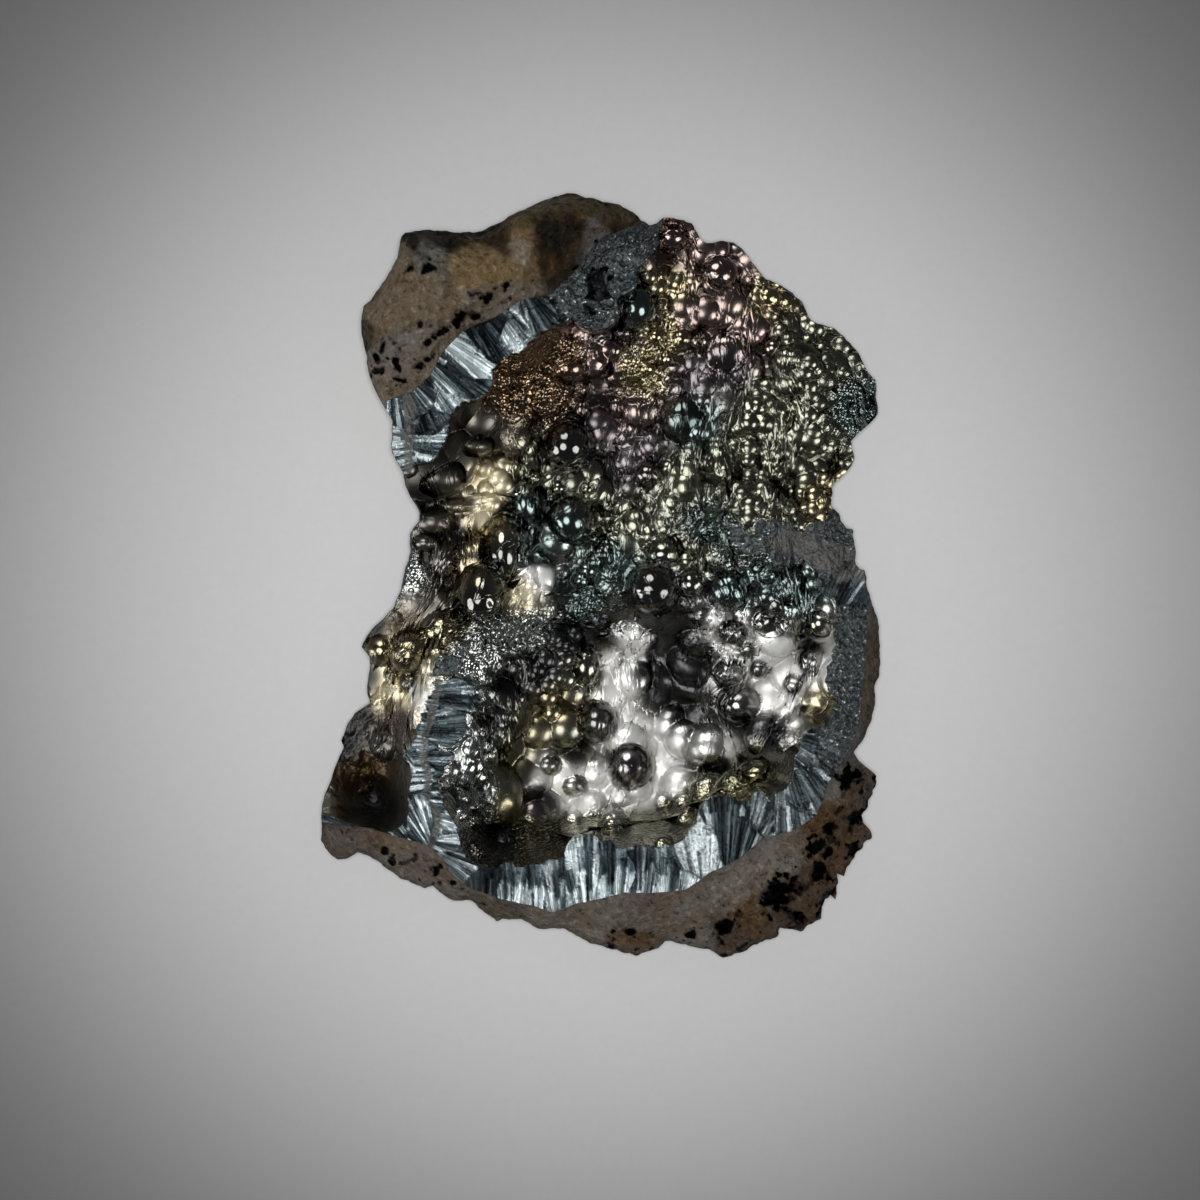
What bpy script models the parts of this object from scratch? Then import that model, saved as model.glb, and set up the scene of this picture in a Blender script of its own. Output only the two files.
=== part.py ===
"""A goethite specimen on its back: a botryoidal goethite crust that lines the hollows of a limonite rock.

X runs across the face, Y up the face and Z out of it. Tables of places are in millimetres in that frame,
and every mesh is written in metres.
"""
import math

import bmesh
import bpy
import numpy as np

MM = 0.001

# Driving dimensions, in millimetres
CRUST_THICKNESS = 5.0       # length of the fibres, measured square to the skin
CRUST_EDGE = 1.4            # thickness left where the crust thins out at its border
UNDER_CELL = 1.7            # half a cell of the coarse grid under the crust
BORDER_FALL = 1.25          # how steeply the rock under the crust falls away from the border
RIM_WIDTH = 1.5             # least width of rock left outside the crust
FIT_GAP = 0.40              # clearance between the crust and the rock that carries it
SOFTNESS = 1.6              # rounding of the relief around each spot height
RAGGED_DEPTH = 7.0          # power by which the ragged border dies away towards the middle
SMOOTH_WAVES = 6            # waves kept round the border when it is smoothed
GLOBE_FULLNESS = 0.8        # a round lobe's height over its own half-width
CONTACT_EASE = 11           # places, of a quarter of a degree, over which the crust's border is eased

# The grid that covers the crust: cells across and cells up, and every second line underneath
CELLS = (44, 50)

# Rings of the rock's broken rim, as shares of the way from the crust's border to the outline
RING_STEPS = (0.0, 0.30, 0.65, 1.0)

# Side of the rock: share of the edge's height, and how far it has drawn in, down to the flat back
SIDE_PROFILE = ((0.72, 0.4), (0.38, 1.8), (0.12, 5.4), (0.0, 9.5))

# Broad hollows in the side: waves round the rock, and half of how deep each one cuts; they drift
# round the rock by SIDE_DRIFT radians from its foot to its edge
SIDE_WAVES = ((7, 0.5), (12, 0.4), (19, 0.25))
SIDE_DRIFT = 9.0

# Round a place, the face is looked at in FACE_LOOKS directions, and the skin in SKIN_LOOKS directions
# at SKIN_REACHES shares of the crust's thickness
FACE_LOOKS = 8
SKIN_LOOKS = 12
SKIN_REACHES = (0.5, 0.9)

FINE_STEPS = 1440           # places round each closed line, a quarter of a degree apart
SHARP_ANGLE = 40.0          # in degrees: an edge sharper than this is not shaded smooth

# Border of the specimen as seen from in front, anticlockwise from the middle of the right side
OUTLINE = np.array([
    (34.7, -0.2), (33.6, 1.0), (33.2, 3.0), (32.8, 6.2), (31.3, 7.3), (30.1, 9.1), (30.6, 11.0),
    (31.2, 12.7), (32.9, 15.0), (32.7, 17.7), (34.5, 19.3), (36.3, 21.6), (36.1, 25.6), (34.6, 27.2),
    (33.6, 29.3), (31.3, 31.5), (28.6, 32.8), (27.2, 33.6), (26.2, 35.9), (23.8, 37.4), (21.5, 38.8),
    (20.2, 40.6), (17.6, 43.6), (15.6, 43.8), (13.3, 43.5), (11.9, 45.8), (8.2, 46.5), (6.4, 45.7),
    (3.5, 47.7), (0.0, 48.8), (-4.0, 49.6), (-7.2, 48.4), (-10.4, 47.1), (-13.0, 45.4), (-16.4, 44.5),
    (-21.6, 44.7), (-25.2, 44.4), (-26.3, 41.2), (-27.8, 38.3), (-30.4, 35.2), (-30.9, 31.5),
    (-29.6, 25.8), (-27.0, 20.4), (-26.9, 16.0), (-25.2, 12.6), (-23.5, 8.2), (-24.8, 5.6),
    (-24.8, 2.1), (-25.9, -1.9), (-28.0, -5.3), (-31.2, -9.1), (-30.0, -11.5), (-30.4, -14.4),
    (-30.0, -16.3), (-32.9, -18.1), (-33.9, -21.4), (-34.6, -24.9), (-35.8, -28.3), (-36.3, -34.2),
    (-34.2, -36.8), (-31.6, -35.9), (-28.6, -37.4), (-25.0, -39.6), (-22.9, -40.7), (-20.9, -40.7),
    (-18.3, -42.3), (-16.1, -43.0), (-13.5, -45.0), (-10.2, -44.4), (-7.2, -46.0), (-4.8, -45.9),
    (-1.0, -47.7), (4.8, -49.4), (7.6, -48.6), (9.0, -47.4), (13.0, -48.0), (16.2, -49.6),
    (19.0, -48.8), (23.0, -47.0), (23.8, -45.7), (26.6, -45.9), (29.0, -44.0), (30.7, -42.4),
    (30.6, -39.6), (33.2, -37.4), (35.3, -34.0), (34.0, -31.4), (36.0, -26.8), (33.2, -23.2),
    (35.9, -17.4), (36.4, -9.5), (35.8, -4.3)])

# Where the crust ends and the brown rock begins on the broken face, anticlockwise from the right side
CONTACT = np.array([
    (34.4, -2.0), (33.8, 3.0), (33.0, 8.0), (40.0, 30.0), (10.0, 48.0), (5.2, 45.6), (0.0, 43.2),
    (-2.6, 39.9), (-6.2, 36.2), (-10.0, 35.4), (-13.6, 33.2), (-17.4, 31.6), (-20.4, 28.4),
    (-21.6, 26.0), (-24.0, 23.8), (-27.4, 22.6), (-32.0, 14.0), (-30.0, 0.0), (-38.0, -20.0),
    (-38.0, -30.0), (-36.0, -31.8), (-30.0, -32.4), (-25.5, -33.7), (-22.5, -34.4), (-20.3, -36.2),
    (-19.3, -38.2), (-17.0, -40.2), (-12.0, -41.7), (-8.5, -42.4), (-6.0, -43.3), (-3.0, -42.1),
    (3.0, -40.6), (11.0, -40.3), (14.0, -38.2), (18.0, -36.2), (21.0, -33.6), (25.0, -32.7),
    (28.0, -30.6), (29.4, -26.6), (31.6, -23.4), (33.0, -20.6), (34.0, -14.0), (34.5, -8.0)])

# Spot heights of the skin, out to where it would stand beyond the break
SKIN = np.array([
    # hills at the top and the upper right
    (10.0, 45.5, 23.0), (16.5, 43.5, 20.5), (21.0, 39.5, 20.5), (27.0, 35.0, 19.0), (34.0, 28.5, 17.5),
    (36.0, 23.0, 16.5), (32.5, 15.5, 17.5), (30.5, 10.0, 19.0), (8.0, 40.0, 25.0), (12.0, 36.0, 24.6),
    (14.0, 41.0, 23.8), (18.0, 36.0, 23.0), (18.0, 31.0, 21.6), (23.0, 33.5, 21.4), (26.0, 29.0, 23.4),
    (30.0, 29.5, 21.0), (33.0, 24.0, 19.5), (22.0, 25.0, 22.0), (27.0, 21.0, 22.0), (31.0, 19.5, 19.5),
    (14.0, 27.0, 21.0), (8.0, 34.0, 23.4), (8.0, 28.5, 22.6), (4.0, 29.0, 22.4), (8.0, 24.0, 19.2),
    (0.0, 33.0, 23.8), (5.5, 41.0, 25.8), (5.0, 37.5, 25.0), (11.5, 20.7, 20.4), (16.0, 20.0, 19.8),
    (20.0, 21.5, 21.4), (25.0, 15.0, 20.6), (20.0, 14.0, 19.8), (15.0, 15.5, 20.2), (15.0, 9.5, 18.0),
    (22.0, 10.0, 20.2), (28.0, 12.0, 20.0), (9.0, 12.0, 17.6), (3.0, 19.0, 18.4), (3.0, 12.0, 17.6),
    # coppery slope under the broken edge at the upper left
    (-4.6, 31.5, 25.2), (-7.6, 28.0, 24.8), (-12.5, 25.6, 24.4), (-14.0, 22.2, 23.8), (-16.4, 18.6, 24.0),
    (-19.0, 15.4, 24.6), (-2.0, 28.5, 22.6), (-6.0, 25.0, 21.4), (-10.5, 21.5, 20.8), (0.0, 25.0, 20.6),
    (-2.0, 21.0, 19.0), (-8.0, 19.5, 19.4),
    # dull lobes down the left side
    (-14.0, 18.0, 20.8), (-17.0, 13.0, 21.4), (-22.0, 11.0, 22.2), (-24.0, 7.0, 21.2), (-21.0, 5.0, 21.0),
    (-17.4, 7.0, 18.8), (-14.0, 12.0, 19.6), (-18.2, 1.5, 18.6), (-22.0, 0.0, 21.0), (-25.0, -2.0, 20.2),
    (-20.5, -4.5, 21.4),
    # middle, down to the edge of the deep hollow
    (-3.0, 13.0, 17.6), (-8.0, 9.0, 17.2), (-5.0, 4.0, 16.6), (2.0, 6.0, 16.8), (8.0, 6.0, 17.4),
    (-10.0, -1.0, 16.4), (-3.0, -1.0, 15.6), (4.0, 0.5, 17.2), (10.0, 0.0, 18.2), (14.5, 3.5, 20.6),
    (16.0, -1.0, 19.6), (20.0, 1.0, 20.6), (22.0, -3.5, 18.8), (26.0, -4.0, 19.4),
    (-5.0, -5.0, 16.6), (2.0, -5.5, 14.6), (7.0, -4.6, 15.6), (12.0, -5.0, 15.6), (17.0, -5.4, 16.2),
    (21.5, -8.6, 15.6), (26.0, -8.6, 16.6),
    # floor of the deep hollow
    (-2.5, -10.0, 12.6), (4.0, -9.0, 11.0), (10.0, -9.0, 10.4), (15.0, -10.0, 11.8), (20.0, -12.5, 13.2),
    (25.0, -12.0, 15.0), (28.4, -9.5, 18.0), (28.0, -15.0, 18.2), (23.0, -16.5, 14.6), (0.0, -15.0, 10.6),
    (6.0, -14.0, 9.8), (11.0, -14.5, 9.6), (16.0, -15.5, 10.8), (19.5, -18.5, 12.8), (-5.0, -16.5, 12.0),
    (-4.5, -22.5, 10.8), (0.5, -23.0, 9.8), (6.0, -21.0, 9.4), (10.5, -19.0, 9.6), (14.0, -24.0, 10.6),
    (-7.0, -27.5, 11.2), (-2.0, -28.0, 10.2), (4.0, -28.0, 10.8), (9.0, -27.0, 11.6), (18.0, -22.5, 13.6),
    (21.5, -20.5, 16.8),
    # steep wall below the fibres at the bottom
    (-12.0, -30.0, 13.4), (-8.0, -32.0, 12.4), (-3.0, -31.8, 11.8), (3.0, -30.8, 12.2), (8.0, -29.8, 13.0),
    (12.0, -28.4, 13.8), (16.0, -26.6, 15.2), (20.0, -25.0, 17.4), (-12.0, -34.6, 18.0),
    (-6.0, -34.0, 17.4), (0.0, -32.8, 17.6), (6.0, -32.3, 18.4), (11.0, -30.6, 19.0), (16.0, -28.2, 20.0),
    # sparkling slope to the right of the thin wall
    (-16.5, -31.5, 19.6), (-16.0, -27.0, 19.4), (-12.5, -25.0, 14.8), (-16.0, -21.0, 20.6),
    (-12.0, -18.0, 16.8), (-15.5, -13.0, 21.4), (-10.0, -10.5, 17.8), (-6.0, -8.6, 15.6),
    (-9.0, -21.5, 13.4), (-9.5, -15.0, 15.8),
    # crest of the thin wall, which the break cuts off
    (-7.0, -3.6, 17.6), (-11.7, -5.2, 25.0), (-15.2, -7.0, 28.0), (-18.4, -9.4, 30.0), (-20.9, -12.5, 31.5),
    (-21.6, -17.0, 32.0), (-22.4, -21.5, 32.5), (-22.3, -26.0, 32.5), (-21.3, -30.5, 32.5),
    (-20.6, -34.0, 32.5), (-18.9, -13.5, 26.6), (-19.4, -20.0, 26.8), (-19.6, -26.0, 26.8),
    (-17.6, -32.0, 26.2), (-24.4, -18.0, 26.4), (-24.8, -23.0, 26.4), (-24.8, -28.5, 26.4),
    # left wing: lobes, then the dark broken pocket
    (-28.0, -6.6, 20.6), (-30.5, -9.5, 18.0), (-26.5, -9.5, 21.0), (-23.0, -7.5, 22.4), (-19.6, -6.2, 23.0),
    (-26.0, -13.5, 19.8), (-29.6, -14.5, 17.6), (-27.4, -17.5, 18.6), (-23.8, -12.5, 23.2),
    (-31.5, -18.5, 16.6), (-33.5, -22.5, 15.4), (-29.5, -22.0, 17.4), (-27.0, -22.5, 19.0),
    (-31.0, -26.0, 14.6), (-28.0, -27.0, 14.8), (-27.5, -30.5, 15.8), (-31.0, -30.0, 13.8),
    (-34.6, -28.5, 18.4), (-31.0, -32.4, 22.4), (-26.0, -31.5, 23.0), (-36.0, -32.0, 23.0),
    # skin edge along the broken faces: upper left, bottom, then right
    (-5.6, 33.4, 29.4), (-7.6, 30.8, 30.4), (-9.6, 28.6, 30.4), (-12.6, 27.8, 28.8), (-14.9, 26.6, 30.0),
    (-16.0, 23.0, 29.4), (-18.2, 20.2, 28.8), (-20.4, 18.2, 28.2), (-21.2, 15.4, 27.8),
    (-15.6, -36.4, 25.4), (-12.0, -37.0, 25.4), (-9.0, -36.5, 26.2), (-4.5, -35.4, 26.2), (0.0, -34.3, 26.2),
    (5.0, -34.0, 26.2), (9.8, -33.8, 26.2), (12.5, -31.6, 26.0), (16.5, -29.6, 25.6), (20.5, -28.2, 25.4),
    (23.4, -26.4, 25.0), (24.0, -22.6, 24.8), (27.0, -20.2, 24.4), (30.4, -17.8, 24.0), (30.2, -12.0, 23.8),
    (30.4, -6.0, 24.0), (28.6, -2.4, 24.2), (25.4, 1.0, 24.4), (20.0, 3.6, 24.0), (15.0, 5.4, 23.0),
    (20.0, 8.2, 23.6), (26.0, 8.0, 24.0),
    # beyond the break, where the skin has gone
    (-1.0, 38.5, 34.0), (-9.0, 33.5, 36.0), (-14.0, 31.0, 36.0), (-19.5, 26.0, 36.0), (-24.0, 19.5, 36.0),
    (-25.5, 15.5, 32.0), (2.0, 42.5, 32.0), (-8.0, -41.0, 38.0), (5.0, -39.0, 38.0), (15.0, -36.0, 36.0),
    (25.0, -31.0, 36.0), (30.0, -24.0, 34.0), (34.0, -14.0, 32.0), (34.0, -4.0, 32.0), (31.0, 3.0, 32.0),
    (21.0, 6.2, 29.0), (-15.0, -41.0, 36.0), (-26.0, -36.0, 34.0), (-35.0, -35.0, 34.0),
    (0.0, -46.0, 44.0), (20.0, -44.0, 44.0), (-25.0, 36.0, 46.0), (-5.0, 46.0, 44.0)])

# Spot heights of the break, which cuts crust and rock alike, and of the rock's own worn face
BREAK = np.array([
    # brown face at the upper left and its edges
    (-28.0, 33.0, 31.0), (-25.0, 40.5, 32.4), (-20.0, 36.0, 33.0), (-19.0, 41.8, 32.4), (-14.0, 38.5, 33.2),
    (-24.0, 28.0, 31.0), (-26.8, 25.0, 29.4), (-9.5, 42.0, 34.0), (-4.5, 45.8, 32.6), (1.5, 45.6, 30.0),
    (-9.5, 45.8, 32.4), (0.0, 41.5, 28.6), (-3.0, 37.5, 28.8), (3.6, 39.5, 27.0), (-18.0, 43.6, 29.6),
    (-24.0, 43.6, 29.4), (-31.0, 32.0, 26.4), (-28.4, 38.5, 27.6), (-26.0, 44.8, 26.0), (-16.0, 45.2, 25.4),
    (-8.0, 48.6, 25.4), (-3.0, 50.0, 24.0), (4.0, 48.2, 23.0), (7.0, 46.2, 23.4), (-28.4, 20.5, 25.4),
    # fibres at the upper left
    (-7.8, 33.2, 30.6), (-10.4, 31.4, 31.0), (-14.4, 30.2, 27.4), (-13.6, 28.6, 27.6), (-17.4, 28.2, 30.4),
    (-18.6, 23.6, 30.0), (-21.6, 21.0, 27.2), (-24.4, 18.0, 28.6), (-23.4, 15.4, 28.0), (-27.0, 15.8, 25.6),
    # high over the skin where it runs out to the border
    (-27.0, 8.0, 32.0), (-28.0, -2.0, 32.0), (-33.0, -10.0, 30.0), (-33.0, -18.0, 28.0), (11.0, 47.5, 38.0),
    (20.0, 42.0, 42.0), (30.0, 34.0, 42.0), (37.0, 24.0, 38.0), (33.0, 13.0, 34.0), (10.0, 25.0, 40.0),
    (22.0, 18.0, 36.0), (-10.0, 12.0, 34.0), (5.0, -15.0, 30.0),
    # flat patch and rim down the right side
    (20.0, 6.4, 24.6), (15.0, 6.4, 23.6), (25.0, 4.0, 25.0), (29.0, 2.4, 25.2), (33.0, 4.0, 23.4),
    (34.6, -1.0, 22.2), (31.4, -4.0, 24.4), (32.2, -10.0, 24.0), (36.4, -10.0, 20.6), (32.0, -16.0, 24.4),
    (36.0, -18.0, 20.4), (27.0, -24.0, 25.4), (31.0, -22.0, 24.6), (33.0, -23.0, 22.0),
    # rim of rock at the lower right and along the bottom
    (31.0, -29.0, 24.6), (36.0, -27.0, 19.4), (35.0, -34.0, 19.0), (25.0, -33.0, 25.6), (28.0, -38.0, 23.6),
    (31.0, -42.0, 17.6), (21.0, -38.0, 25.4), (20.0, -43.0, 23.4), (26.0, -45.8, 17.6), (16.0, -49.6, 16.8),
    (13.0, -42.5, 24.6), (9.0, -47.4, 18.6), (4.0, -49.2, 16.6), (3.0, -44.0, 24.6), (-5.0, -46.0, 17.8),
    (-7.0, -44.2, 22.6), (-13.5, -45.0, 16.6), (-13.0, -42.8, 22.6), (-20.0, -42.0, 16.8),
    (-20.5, -38.6, 23.4), (-27.0, -38.6, 16.6), (-26.0, -35.8, 23.4), (-31.0, -34.2, 22.0),
    (-35.6, -36.0, 15.6), (-35.8, -32.6, 19.0), (-30.0, -32.6, 22.4),
    # fibres along the bottom and on the thin wall
    (10.0, -36.5, 26.4), (15.0, -33.6, 26.2), (20.0, -31.0, 25.8), (0.0, -37.6, 26.6), (-8.0, -39.6, 26.4),
    (-13.0, -39.0, 25.2), (-18.4, -36.6, 26.6), (-21.6, -31.0, 28.0), (-22.5, -24.0, 28.0),
    (-21.8, -17.0, 28.0), (-19.6, -11.0, 27.6), (-15.6, -7.6, 26.2), (-11.6, -5.4, 23.4),
    (-24.6, -31.6, 25.4)])

# Round lobes that stand out of the skin: place, half-width across, half-width up, and rise
GLOBES = np.array([
    (-4.2, 17.2, 3.5, 3.5, 3.0), (-3.6, 8.0, 3.6, 3.7, 3.2), (-12.8, 2.3, 2.9, 4.0, 3.2),
    (-15.4, -2.8, 3.2, 3.6, 2.6), (-12.3, 7.2, 2.5, 2.0, 1.4), (7.0, -1.4, 3.6, 3.5, 2.8),
    (8.4, 3.2, 2.8, 2.4, 1.6), (16.9, -1.4, 3.0, 3.2, 2.6), (11.8, -1.0, 2.0, 2.0, 1.6),
    (22.2, -6.0, 2.5, 2.3, 2.2), (17.3, -7.0, 2.2, 1.9, 1.6), (17.0, -12.6, 2.4, 2.0, 1.8),
    (18.7, -16.4, 3.0, 2.8, 2.2), (27.8, -11.0, 2.2, 2.2, 1.8), (28.6, -6.0, 2.0, 2.0, 1.6),
    (14.6, -22.4, 4.4, 3.8, 2.2), (4.0, -24.8, 3.3, 3.3, 2.4), (-0.4, -19.0, 2.9, 2.9, 2.8),
    (-1.9, -11.4, 2.0, 2.7, 1.6), (4.5, 34.8, 2.6, 3.3, 2.4), (14.8, 39.4, 2.8, 2.4, 2.2),
    (9.4, 44.2, 2.4, 2.2, 1.6), (23.2, 35.8, 2.2, 2.0, 1.4), (11.8, 20.8, 3.4, 3.4, 2.0),
    (19.7, 21.6, 2.7, 2.6, 2.0), (25.4, 28.0, 3.4, 3.2, 1.8), (15.8, 15.2, 3.4, 3.2, 1.8),
    (16.6, 30.2, 2.8, 2.2, 1.4), (11.0, 31.0, 2.2, 2.0, 1.4), (-4.0, 27.2, 3.0, 2.4, 1.4),
    (1.0, 29.6, 2.6, 2.2, 1.2), (5.0, 23.6, 2.8, 2.4, 1.2), (27.0, 20.2, 3.0, 2.8, 1.4),
    (30.6, 26.0, 2.6, 3.0, 1.2), (20.6, 36.4, 2.6, 2.4, 1.2), (22.8, 15.2, 2.8, 2.6, 1.4),
    (-24.4, -9.6, 3.0, 2.8, 1.6), (-28.0, -9.2, 2.4, 2.2, 1.2), (-20.4, -6.8, 2.8, 2.4, 1.4),
    (-21.4, 7.2, 3.0, 2.2, 1.2), (-20.6, 2.2, 2.6, 2.6, 1.0), (-20.8, 13.4, 3.4, 2.6, 1.2),
    (-27.4, -21.8, 2.6, 2.2, 1.6), (28.0, -17.4, 3.4, 1.5, 1.8), (20.6, -25.6, 3.0, 2.0, 1.6)])

ROCK_COLOUR = (0.20, 0.145, 0.105, 1.0)
CRUST_COLOUR = (0.035, 0.036, 0.040, 1.0)

# A point of the square sheet whose ring passes this is on the sheet's rim
ON_RIM = 0.999


def spot_surface(spots, x, y):
    """Height of the smooth surface through spot heights: a sum of cones, each rounded at its tip."""
    def cones(px, py):
        return np.sqrt((px[:, None] - spots[:, 0]) ** 2 + (py[:, None] - spots[:, 1]) ** 2 + SOFTNESS ** 2)
    mean = spots[:, 2].mean()
    weights = np.linalg.solve(cones(spots[:, 0], spots[:, 1]), spots[:, 2] - mean)
    return mean + cones(x, y) @ weights


def skin_height(x, y):
    """Height of the botryoidal skin: the spot surface, with the round lobes standing out of it."""
    base = spot_surface(SKIN, x, y)
    for gx, gy, half_x, half_y, rise in GLOBES:
        inside = 1.0 - ((x - gx) / half_x) ** 2 - ((y - gy) / half_y) ** 2
        foot = spot_surface(SKIN, np.array([gx]), np.array([gy]))[0]
        half_up = max(rise, GLOBE_FULLNESS * half_x)
        top = foot + rise - half_up + half_up * np.sqrt(np.clip(inside, 0.0, None))
        base = np.where(inside > 0.0, np.maximum(base, top), base)
    return base


def face_height(x, y):
    """Height of the whole face: the skin, cut off where the specimen was broken."""
    return np.minimum(skin_height(x, y), spot_surface(BREAK, x, y))


def lowest_face_within(reach, x, y):
    """Lowest height of the face at a place and at the places round it."""
    lowest = face_height(x, y)
    for look in range(FACE_LOOKS):
        angle = math.tau * look / FACE_LOOKS
        lowest = np.minimum(lowest, face_height(x + reach * math.cos(angle), y + reach * math.sin(angle)))
    return lowest


def rock_under_skin(x, y):
    """Height of the surface that lies one crust thickness behind the skin, measured square to it."""
    lowest = spot_surface(SKIN, x, y) - CRUST_THICKNESS
    for share in SKIN_REACHES:
        reach = share * CRUST_THICKNESS
        drop = math.sqrt(CRUST_THICKNESS ** 2 - reach ** 2)
        for look in range(SKIN_LOOKS):
            angle = math.tau * look / SKIN_LOOKS
            beside = spot_surface(SKIN, x + reach * math.cos(angle), y + reach * math.sin(angle))
            lowest = np.minimum(lowest, beside - drop)
    return lowest


def radius_by_angle(points, angle):
    """Distance from the middle of the face to a closed line, in the direction of each angle."""
    bearing = np.arctan2(points[:, 1], points[:, 0]) % math.tau
    order = np.argsort(bearing)
    return np.interp(angle % math.tau, bearing[order], np.hypot(*points[order].T), period=math.tau)


def smooth_ring(radius):
    """The same closed line with only its broad waves left."""
    waves = np.fft.rfft(radius)
    waves[SMOOTH_WAVES:] = 0.0
    return np.fft.irfft(waves, len(radius))


def worn_ring(radius, reach):
    """The closed line moved in past every step within reach places either side, and evened out."""
    shifts = range(-reach, reach + 1)
    lowest = np.min([np.roll(radius, shift) for shift in shifts], axis=0)
    return np.mean([np.roll(lowest, shift) for shift in shifts], axis=0)


FINE_ANGLES = np.linspace(0.0, math.tau, FINE_STEPS, endpoint=False)
OUTLINE_RADIUS = radius_by_angle(OUTLINE, FINE_ANGLES)
CONTACT_RADIUS = worn_ring(
    np.minimum(radius_by_angle(CONTACT, FINE_ANGLES), OUTLINE_RADIUS - RIM_WIDTH), CONTACT_EASE)
BACK_RADIUS = smooth_ring(OUTLINE_RADIUS)
BROAD_RADIUS = smooth_ring(CONTACT_RADIUS)


def angle_of_turn(turn):
    """Bearing of a point a given share of the way round, spread evenly along the outline's length."""
    x, y = OUTLINE_RADIUS * np.cos(FINE_ANGLES), OUTLINE_RADIUS * np.sin(FINE_ANGLES)
    steps = np.hypot(np.roll(x, -1) - x, np.roll(y, -1) - y)
    even = np.full(len(steps), steps.mean())
    along = np.concatenate([[0.0], np.cumsum(0.5 * steps + 0.5 * even)])
    return np.interp(turn % 1.0, along / along[-1], np.append(FINE_ANGLES, math.tau))


def ring_radius(table, angle):
    """Distance at a bearing, from a table of distances at the fine angles."""
    return np.interp(angle % math.tau, FINE_ANGLES, table, period=math.tau)


def square_to_rings(u, v):
    """A point of the square as the ring that it is on, 0 to 1, and the share of the way round it."""
    ring = np.maximum(np.abs(u), np.abs(v))
    safe = np.where(ring > 0.0, ring, 1.0)
    on_right, on_top, on_left = u >= np.abs(v), v >= np.abs(u), -u >= np.abs(v)
    turn = np.where(on_right, v / safe, np.where(on_top, 2.0 - u / safe,
                    np.where(on_left, 4.0 - v / safe, 6.0 + u / safe)))
    return ring, (turn / 8.0) % 1.0


def crust_plan(u, v):
    """Ring, bearing and distance of a point of the square: rings shrink from the contact to the middle."""
    ring, turn = square_to_rings(u, v)
    angle = angle_of_turn(turn)
    broad = ring_radius(BROAD_RADIUS, angle)
    ragged = ring_radius(CONTACT_RADIUS, angle) - broad
    return ring, angle, ring * broad + ring ** RAGGED_DEPTH * ragged


def on_bearing(radius, angle):
    """Place at a distance from the middle of the face, on a bearing."""
    return radius * np.cos(angle), radius * np.sin(angle)


def crust_top(u, v):
    """Upper side of the crust: the face itself, as far out as the contact with the rock."""
    _, angle, reach = crust_plan(u, v)
    x, y = on_bearing(reach, angle)
    return np.stack([x, y, face_height(x, y)], axis=1)


def crust_under(u, v):
    """Underside of the crust: a crust thickness behind the skin, but shallow close to the border."""
    ring, angle, reach = crust_plan(u, v)
    x, y = on_bearing(reach, angle)
    from_border = (1.0 - ring) * ring_radius(BROAD_RADIUS, angle)
    shallow = face_height(x, y) - CRUST_EDGE - BORDER_FALL * from_border
    under = np.maximum(rock_under_skin(x, y), shallow)
    step_in = UNDER_CELL * ring ** RAGGED_DEPTH
    lowest = lowest_face_within(UNDER_CELL, *on_bearing(reach - step_in, angle))
    return np.stack([x, y, np.minimum(under, lowest - CRUST_EDGE)], axis=1)


def pocket(u, v):
    """The rock's surface under the crust, a clearance below it and, at the border, outside it."""
    spots = crust_under(u, v)
    ring, angle, reach = crust_plan(u, v)
    x, y = on_bearing(reach + np.where(ring > ON_RIM, FIT_GAP, 0.0), angle)
    return np.stack([x, y, spots[:, 2] - FIT_GAP], axis=1)


def add_sheet(bm, cells, place):
    """Add a grid of cells to the mesh, each corner moved to place(u, v), and return its rim in order."""
    verts = bmesh.ops.create_grid(bm, x_segments=cells[0], y_segments=cells[1], size=1.0)["verts"]
    square = np.array([vert.co[:2] for vert in verts], dtype=float)
    for vert, spot in zip(verts, place(square[:, 0], square[:, 1])):
        vert.co = spot * MM
    ring, turn = square_to_rings(square[:, 0], square[:, 1])
    rim = [(turn[i], vert) for i, vert in enumerate(verts) if ring[i] > ON_RIM]
    return [vert for _, vert in sorted(rim, key=lambda pair: pair[0])]


def add_ring(bm, radius, angle, height):
    """Add a closed ring of points, each at its own bearing, distance and height."""
    x, y = on_bearing(radius, angle)
    return [bm.verts.new(spot) for spot in np.stack([x, y, height], axis=1) * MM]


def lace(bm, first, second):
    """Close the strip between two rings of points, where the second may have half as many."""
    count = len(first)
    ratio = count // len(second)
    for i in range(count):
        here, there = first[i], first[(i + 1) % count]
        near, far = second[i // ratio], second[(i + 1) // ratio % len(second)]
        if near is far:
            bm.faces.new((here, there, near))
        else:
            bm.faces.new((here, there, far))
            bm.faces.new((here, far, near))


def finish(bm, name, material):
    """Turn the faces outwards and make the object."""
    bmesh.ops.triangulate(bm, faces=bm.faces)
    bmesh.ops.recalc_face_normals(bm, faces=bm.faces)
    mesh = bpy.data.meshes.new(name)
    bm.to_mesh(mesh)
    bm.free()
    mesh.shade_smooth()
    mesh.set_sharp_from_angle(angle=math.radians(SHARP_ANGLE))
    piece = bpy.data.objects.new(name, mesh)
    piece.data.materials.append(material)
    bpy.context.scene.collection.objects.link(piece)


def principled(name, colour, roughness, metallic):
    """A plain material of one colour."""
    material = bpy.data.materials.new(name)
    material.use_nodes = True
    shader = material.node_tree.nodes["Principled BSDF"]
    shader.inputs["Base Color"].default_value = colour
    shader.inputs["Roughness"].default_value = roughness
    shader.inputs["Metallic"].default_value = metallic
    return material


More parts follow.
